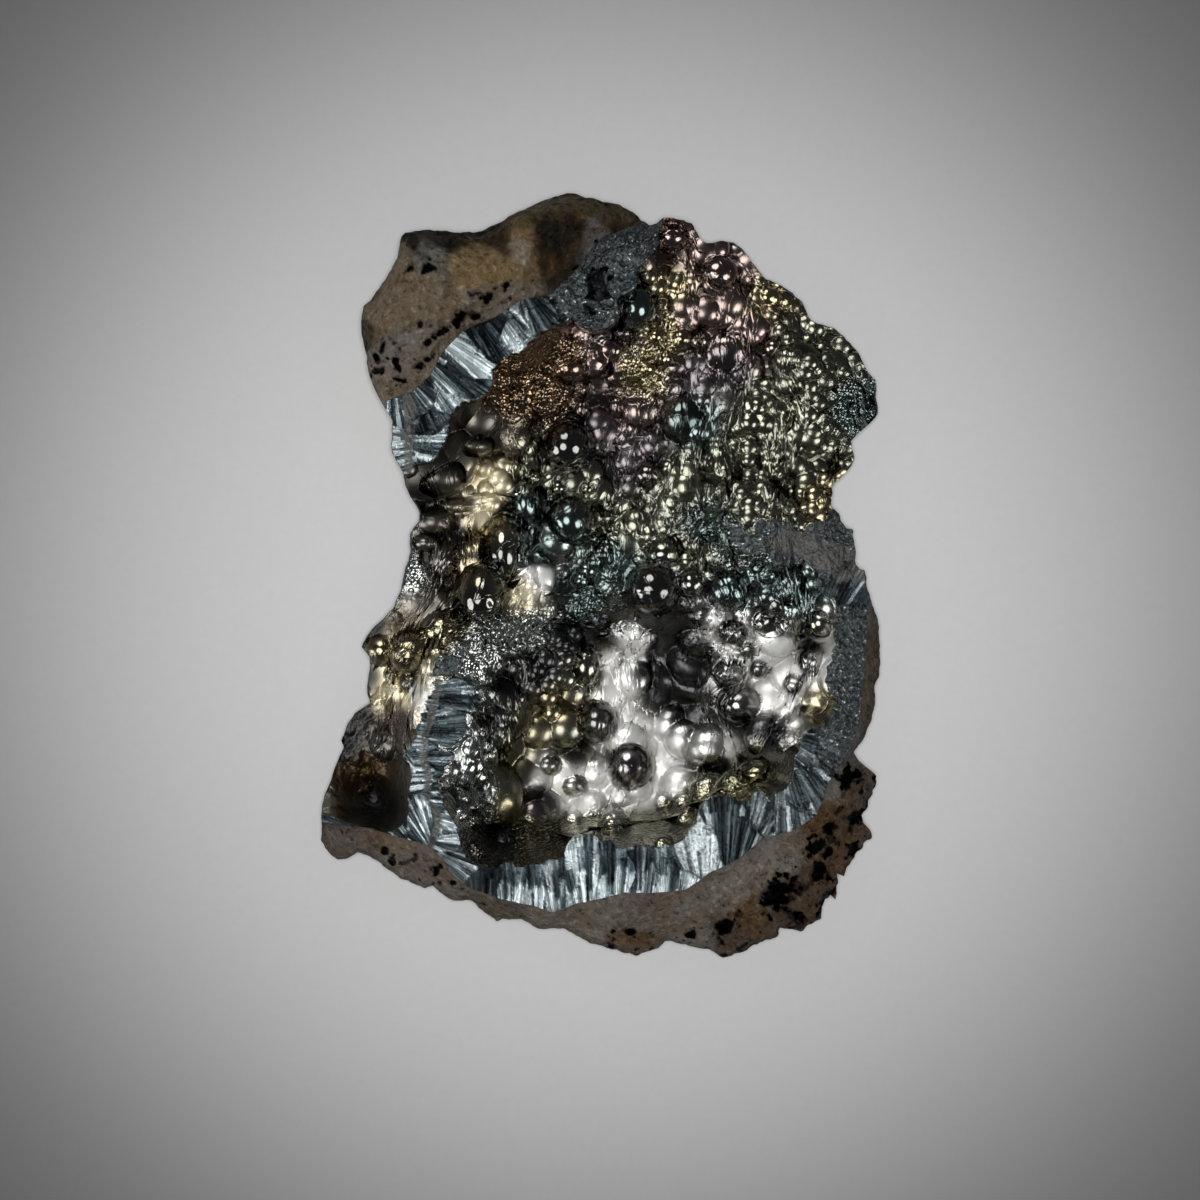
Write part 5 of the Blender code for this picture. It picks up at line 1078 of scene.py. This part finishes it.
def rock_slice(name, columns):
    """One closed wedge of the rock: its lines, a point at the middle of the pocket and one of the back."""
    part = rock[:, columns]
    grid = np.arange(part.shape[0] * part.shape[1]).reshape(part.shape[:2])
    middle = grid.size
    poles = np.array([[0.0, 0.0, pocket_z[0].min()], [0.0, 0.0, 0.0]])
    first = np.stack([np.full(grid.shape[1] - 1, middle), grid[0, :-1], grid[0, 1:]], axis=1)
    last = np.stack([grid[-1, :-1], np.full(grid.shape[1] - 1, middle + 1), grid[-1, 1:]], axis=1)
    caps = [np.concatenate([[middle], grid[:, -1], [middle + 1]]),
            np.concatenate([[middle], grid[:, 0], [middle + 1]])[::-1]]
    faces = [strips(grid[:-1], grid[1:]), first, last, np.array(caps)]
    spots = np.concatenate([part.reshape(-1, 3), poles])
    square = np.concatenate([rock_normals[:, columns].reshape(-1, 3), [[0.0, 0.0, 1.0], [0.0, 0.0, -1.0]]])
    values = {label: np.concatenate([numbers[:, columns].reshape(grid.size, -1),
                                     np.zeros((2, numbers.shape[2]))])
              for label, numbers in rock_values.items()}
    return put_piece(name, spots, square, faces, values)


# Stains, dark specks, the painted shade of pores, pits and the border, and the crust's cut edge where it
# comes out at the side
RUST_STAIN, DARK_SPECK = (0.088, 0.052, 0.022, 1.0), (0.03, 0.022, 0.016, 1.0)
PORE_PAINTED_SHADE, CRUST_EDGE = (0.004, 0.003, 0.003, 1.0), (0.05, 0.058, 0.066, 1.0)

material, tree, shader = new_material("limonite")
look_node = add_node(tree, "ShaderNodeAttribute", attribute_name="look")
edge_node = add_node(tree, "ShaderNodeAttribute", attribute_name="crust_edge").outputs["Fac"]
objects = add_node(tree, "ShaderNodeTexCoord").outputs["Object"]
blotch = add_node(tree, "ShaderNodeTexNoise", {0: objects, "Scale": 230.0, "Detail": 5.0}).outputs[0]
speck = add_node(tree, "ShaderNodeTexNoise", {0: objects, "Scale": 1100.0, "Detail": 5.0,
                                              "Roughness": 0.65}).outputs[0]
grey_veil = add_node(tree, "ShaderNodeHueSaturation", {"Saturation": 0.35, "Value": 0.95,
                                                       "Color": look_node.outputs["Color"]}).outputs[0]
brown = blend_colours(tree, remap(tree, blotch, 0.35, 0.70, 0.0, 0.5), look_node.outputs["Color"],
                      RUST_STAIN)
patchy = add_node(tree, "ShaderNodeTexNoise", {0: objects, "Scale": 120.0, "Detail": 4.0}).outputs[0]
brown = blend_colours(tree, remap(tree, patchy, 0.50, 0.62, 0.0, 0.6), brown, grey_veil)
light_grain = add_node(tree, "ShaderNodeHueSaturation", {"Saturation": 0.9, "Value": 2.0,
                                                         "Color": brown}).outputs[0]
brown = blend_colours(tree, remap(tree, speck, 0.54, 0.66, 0.0, 0.7), brown, light_grain)
brown = blend_colours(tree, remap(tree, speck, 0.44, 0.34, 0.0, 0.8), brown, DARK_SPECK)
# painted shade: darker with the depth carried in the look's alpha
brown = blend_colours(tree, remap(tree, look_node.outputs["Alpha"], 0.1, 1.1), brown, PORE_PAINTED_SHADE)
brown = blend_colours(tree, edge_node, brown, CRUST_EDGE)
tree.links.new(brown, shader.inputs["Base Color"])
tree.links.new(remap(tree, speck, 0.35, 0.65, 0.75, 0.42), shader.inputs["Roughness"])
shader.inputs["Specular IOR Level"].default_value = 0.12
bump = add_node(tree, "ShaderNodeBump", {"Strength": 1.0, "Distance": 0.0009, "Height": speck})
tree.links.new(bump.outputs[0], shader.inputs["Normal"])

quarter = ROCK_COLUMNS // 4
for k, name in enumerate(("rock_upper_right", "rock_upper_left", "rock_lower_left", "rock_lower_right")):
    wedge = rock_slice(name, slice(k * quarter, (k + 1) * quarter + 1))
    wedge.data.materials.append(material)
    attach(wedge, "root")
    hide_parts("limonite_matrix")

# Floor: a plain pale sheet of matt paper, a hair below the specimen's foot.

FLOOR_HALF, FLOOR_DROP = 6.0, 0.0003
mesh = bpy.data.meshes.new("floor")
mesh.from_pydata([(FLOOR_HALF * right, FLOOR_HALF * up, -FLOOR_DROP)
                  for right, up in ((-1, -1), (1, -1), (1, 1), (-1, 1))], [], [(0, 1, 2, 3)])
floor = bpy.data.objects.new("floor", mesh)
bpy.context.scene.collection.objects.link(floor)
floor_material, tree, shader = new_material("floor_paper")
paper = add_node(tree, "ShaderNodeTexCoord").outputs["Object"]
tooth = add_node(tree, "ShaderNodeTexNoise", {0: paper, "Scale": 900.0, "Detail": 2.0}).outputs[0]
tree.links.new(blend_colours(tree, tooth, (0.66, 0.66, 0.66, 1.0), (0.70, 0.70, 0.70, 1.0)),
               shader.inputs["Base Color"])
shader.inputs["Roughness"].default_value = 0.9
shader.inputs["Specular IOR Level"].default_value = 0.2
mesh.materials.append(floor_material)

# Studio: four round lamps whose reflections make the highlights on every lobe, a spot that lights the
# floor alone, a soft lamp overhead, and a camera straight above.

VIEW_MIDDLE = (0.0, -0.003, 0.018)
LAMPS = {"left": (-0.87, -0.38, 0.33), "right": (0.66, -0.38, 0.65), "top": (-0.28, 0.66, 0.70),
         "front": (-0.39, -0.17, 0.89)}
LAMP_AWAY, LAMP_ACROSS, LAMP_POWER = 0.6, 0.33, 1.50
FLOOR_LAMP = (1.1, 11.5, 36.0)      # height, angle of its cone in degrees, power
OVERHEAD = (1.2, 1.0, 1.4)          # height, width, power
SOFT_LIGHT, BACKDROP = (0.06, 0.06, 0.062, 1.0), (0.62, 0.62, 0.62, 1.0)
SENSOR, CAMERA_HEIGHT, VIEW_WIDTH = 36.0, 1.0, 0.156    # VIEW_WIDTH is what the picture spans
spared = bpy.data.collections.new("lamps_spare")
spared.objects.link(floor)
spared.collection_objects[0].light_linking.link_state = "EXCLUDE"
lit_floor = bpy.data.collections.new("floor_lamp_lights")
lit_floor.objects.link(floor)


def aim(thing, away_from):
    """Turn a lamp so that it shines at the middle of the view."""
    thing.rotation_euler = Vector(away_from).to_track_quat("Z", "Y").to_euler()


def put_lamp(name, kind, power, place):
    """A lamp of a kind, with its power in watts, on a holder at its place."""
    lamp = bpy.data.lights.new(f"lamp_{name}", kind)
    lamp.energy = power
    holder = bpy.data.objects.new(lamp.name, lamp)
    bpy.context.scene.collection.objects.link(holder)
    holder.location = place
    return lamp, holder


for name, direction in LAMPS.items():
    place = Vector(VIEW_MIDDLE) + LAMP_AWAY * Vector(direction).normalized()
    lamp, holder = put_lamp(name, "AREA", LAMP_POWER, place)
    lamp.shape = "DISK"
    lamp.size = LAMP_ACROSS
    holder.light_linking.receiver_collection = spared
    aim(holder, direction)

lamp, holder = put_lamp("floor", "SPOT", FLOOR_LAMP[2], (VIEW_MIDDLE[0], VIEW_MIDDLE[1], FLOOR_LAMP[0]))
lamp.spot_size = math.radians(FLOOR_LAMP[1])
lamp.spot_blend = 1.0
lamp.shadow_soft_size = 0.03
holder.light_linking.receiver_collection = lit_floor

lamp, holder = put_lamp("overhead", "AREA", OVERHEAD[2], (VIEW_MIDDLE[0], VIEW_MIDDLE[1], OVERHEAD[0]))
lamp.shape = "DISK"
lamp.size = OVERHEAD[1]
holder.visible_camera = False
holder.visible_glossy = False

world = bpy.data.worlds.new("studio")
bpy.context.scene.world = world
world.use_nodes = True
tree = world.node_tree
background = tree.nodes["Background"]
seen = add_node(tree, "ShaderNodeLightPath").outputs["Is Camera Ray"]
tree.links.new(blend_colours(tree, seen, SOFT_LIGHT, BACKDROP), background.inputs[0])

camera_data = bpy.data.cameras.new("camera")
camera_data.sensor_width = SENSOR
camera_data.lens = SENSOR * (CAMERA_HEIGHT - VIEW_MIDDLE[2]) / VIEW_WIDTH
camera = bpy.data.objects.new("camera", camera_data)
camera.location = (VIEW_MIDDLE[0], VIEW_MIDDLE[1], CAMERA_HEIGHT)
bpy.context.scene.collection.objects.link(camera)
bpy.context.scene.camera = camera
bpy.context.scene.view_settings.view_transform = "Standard"
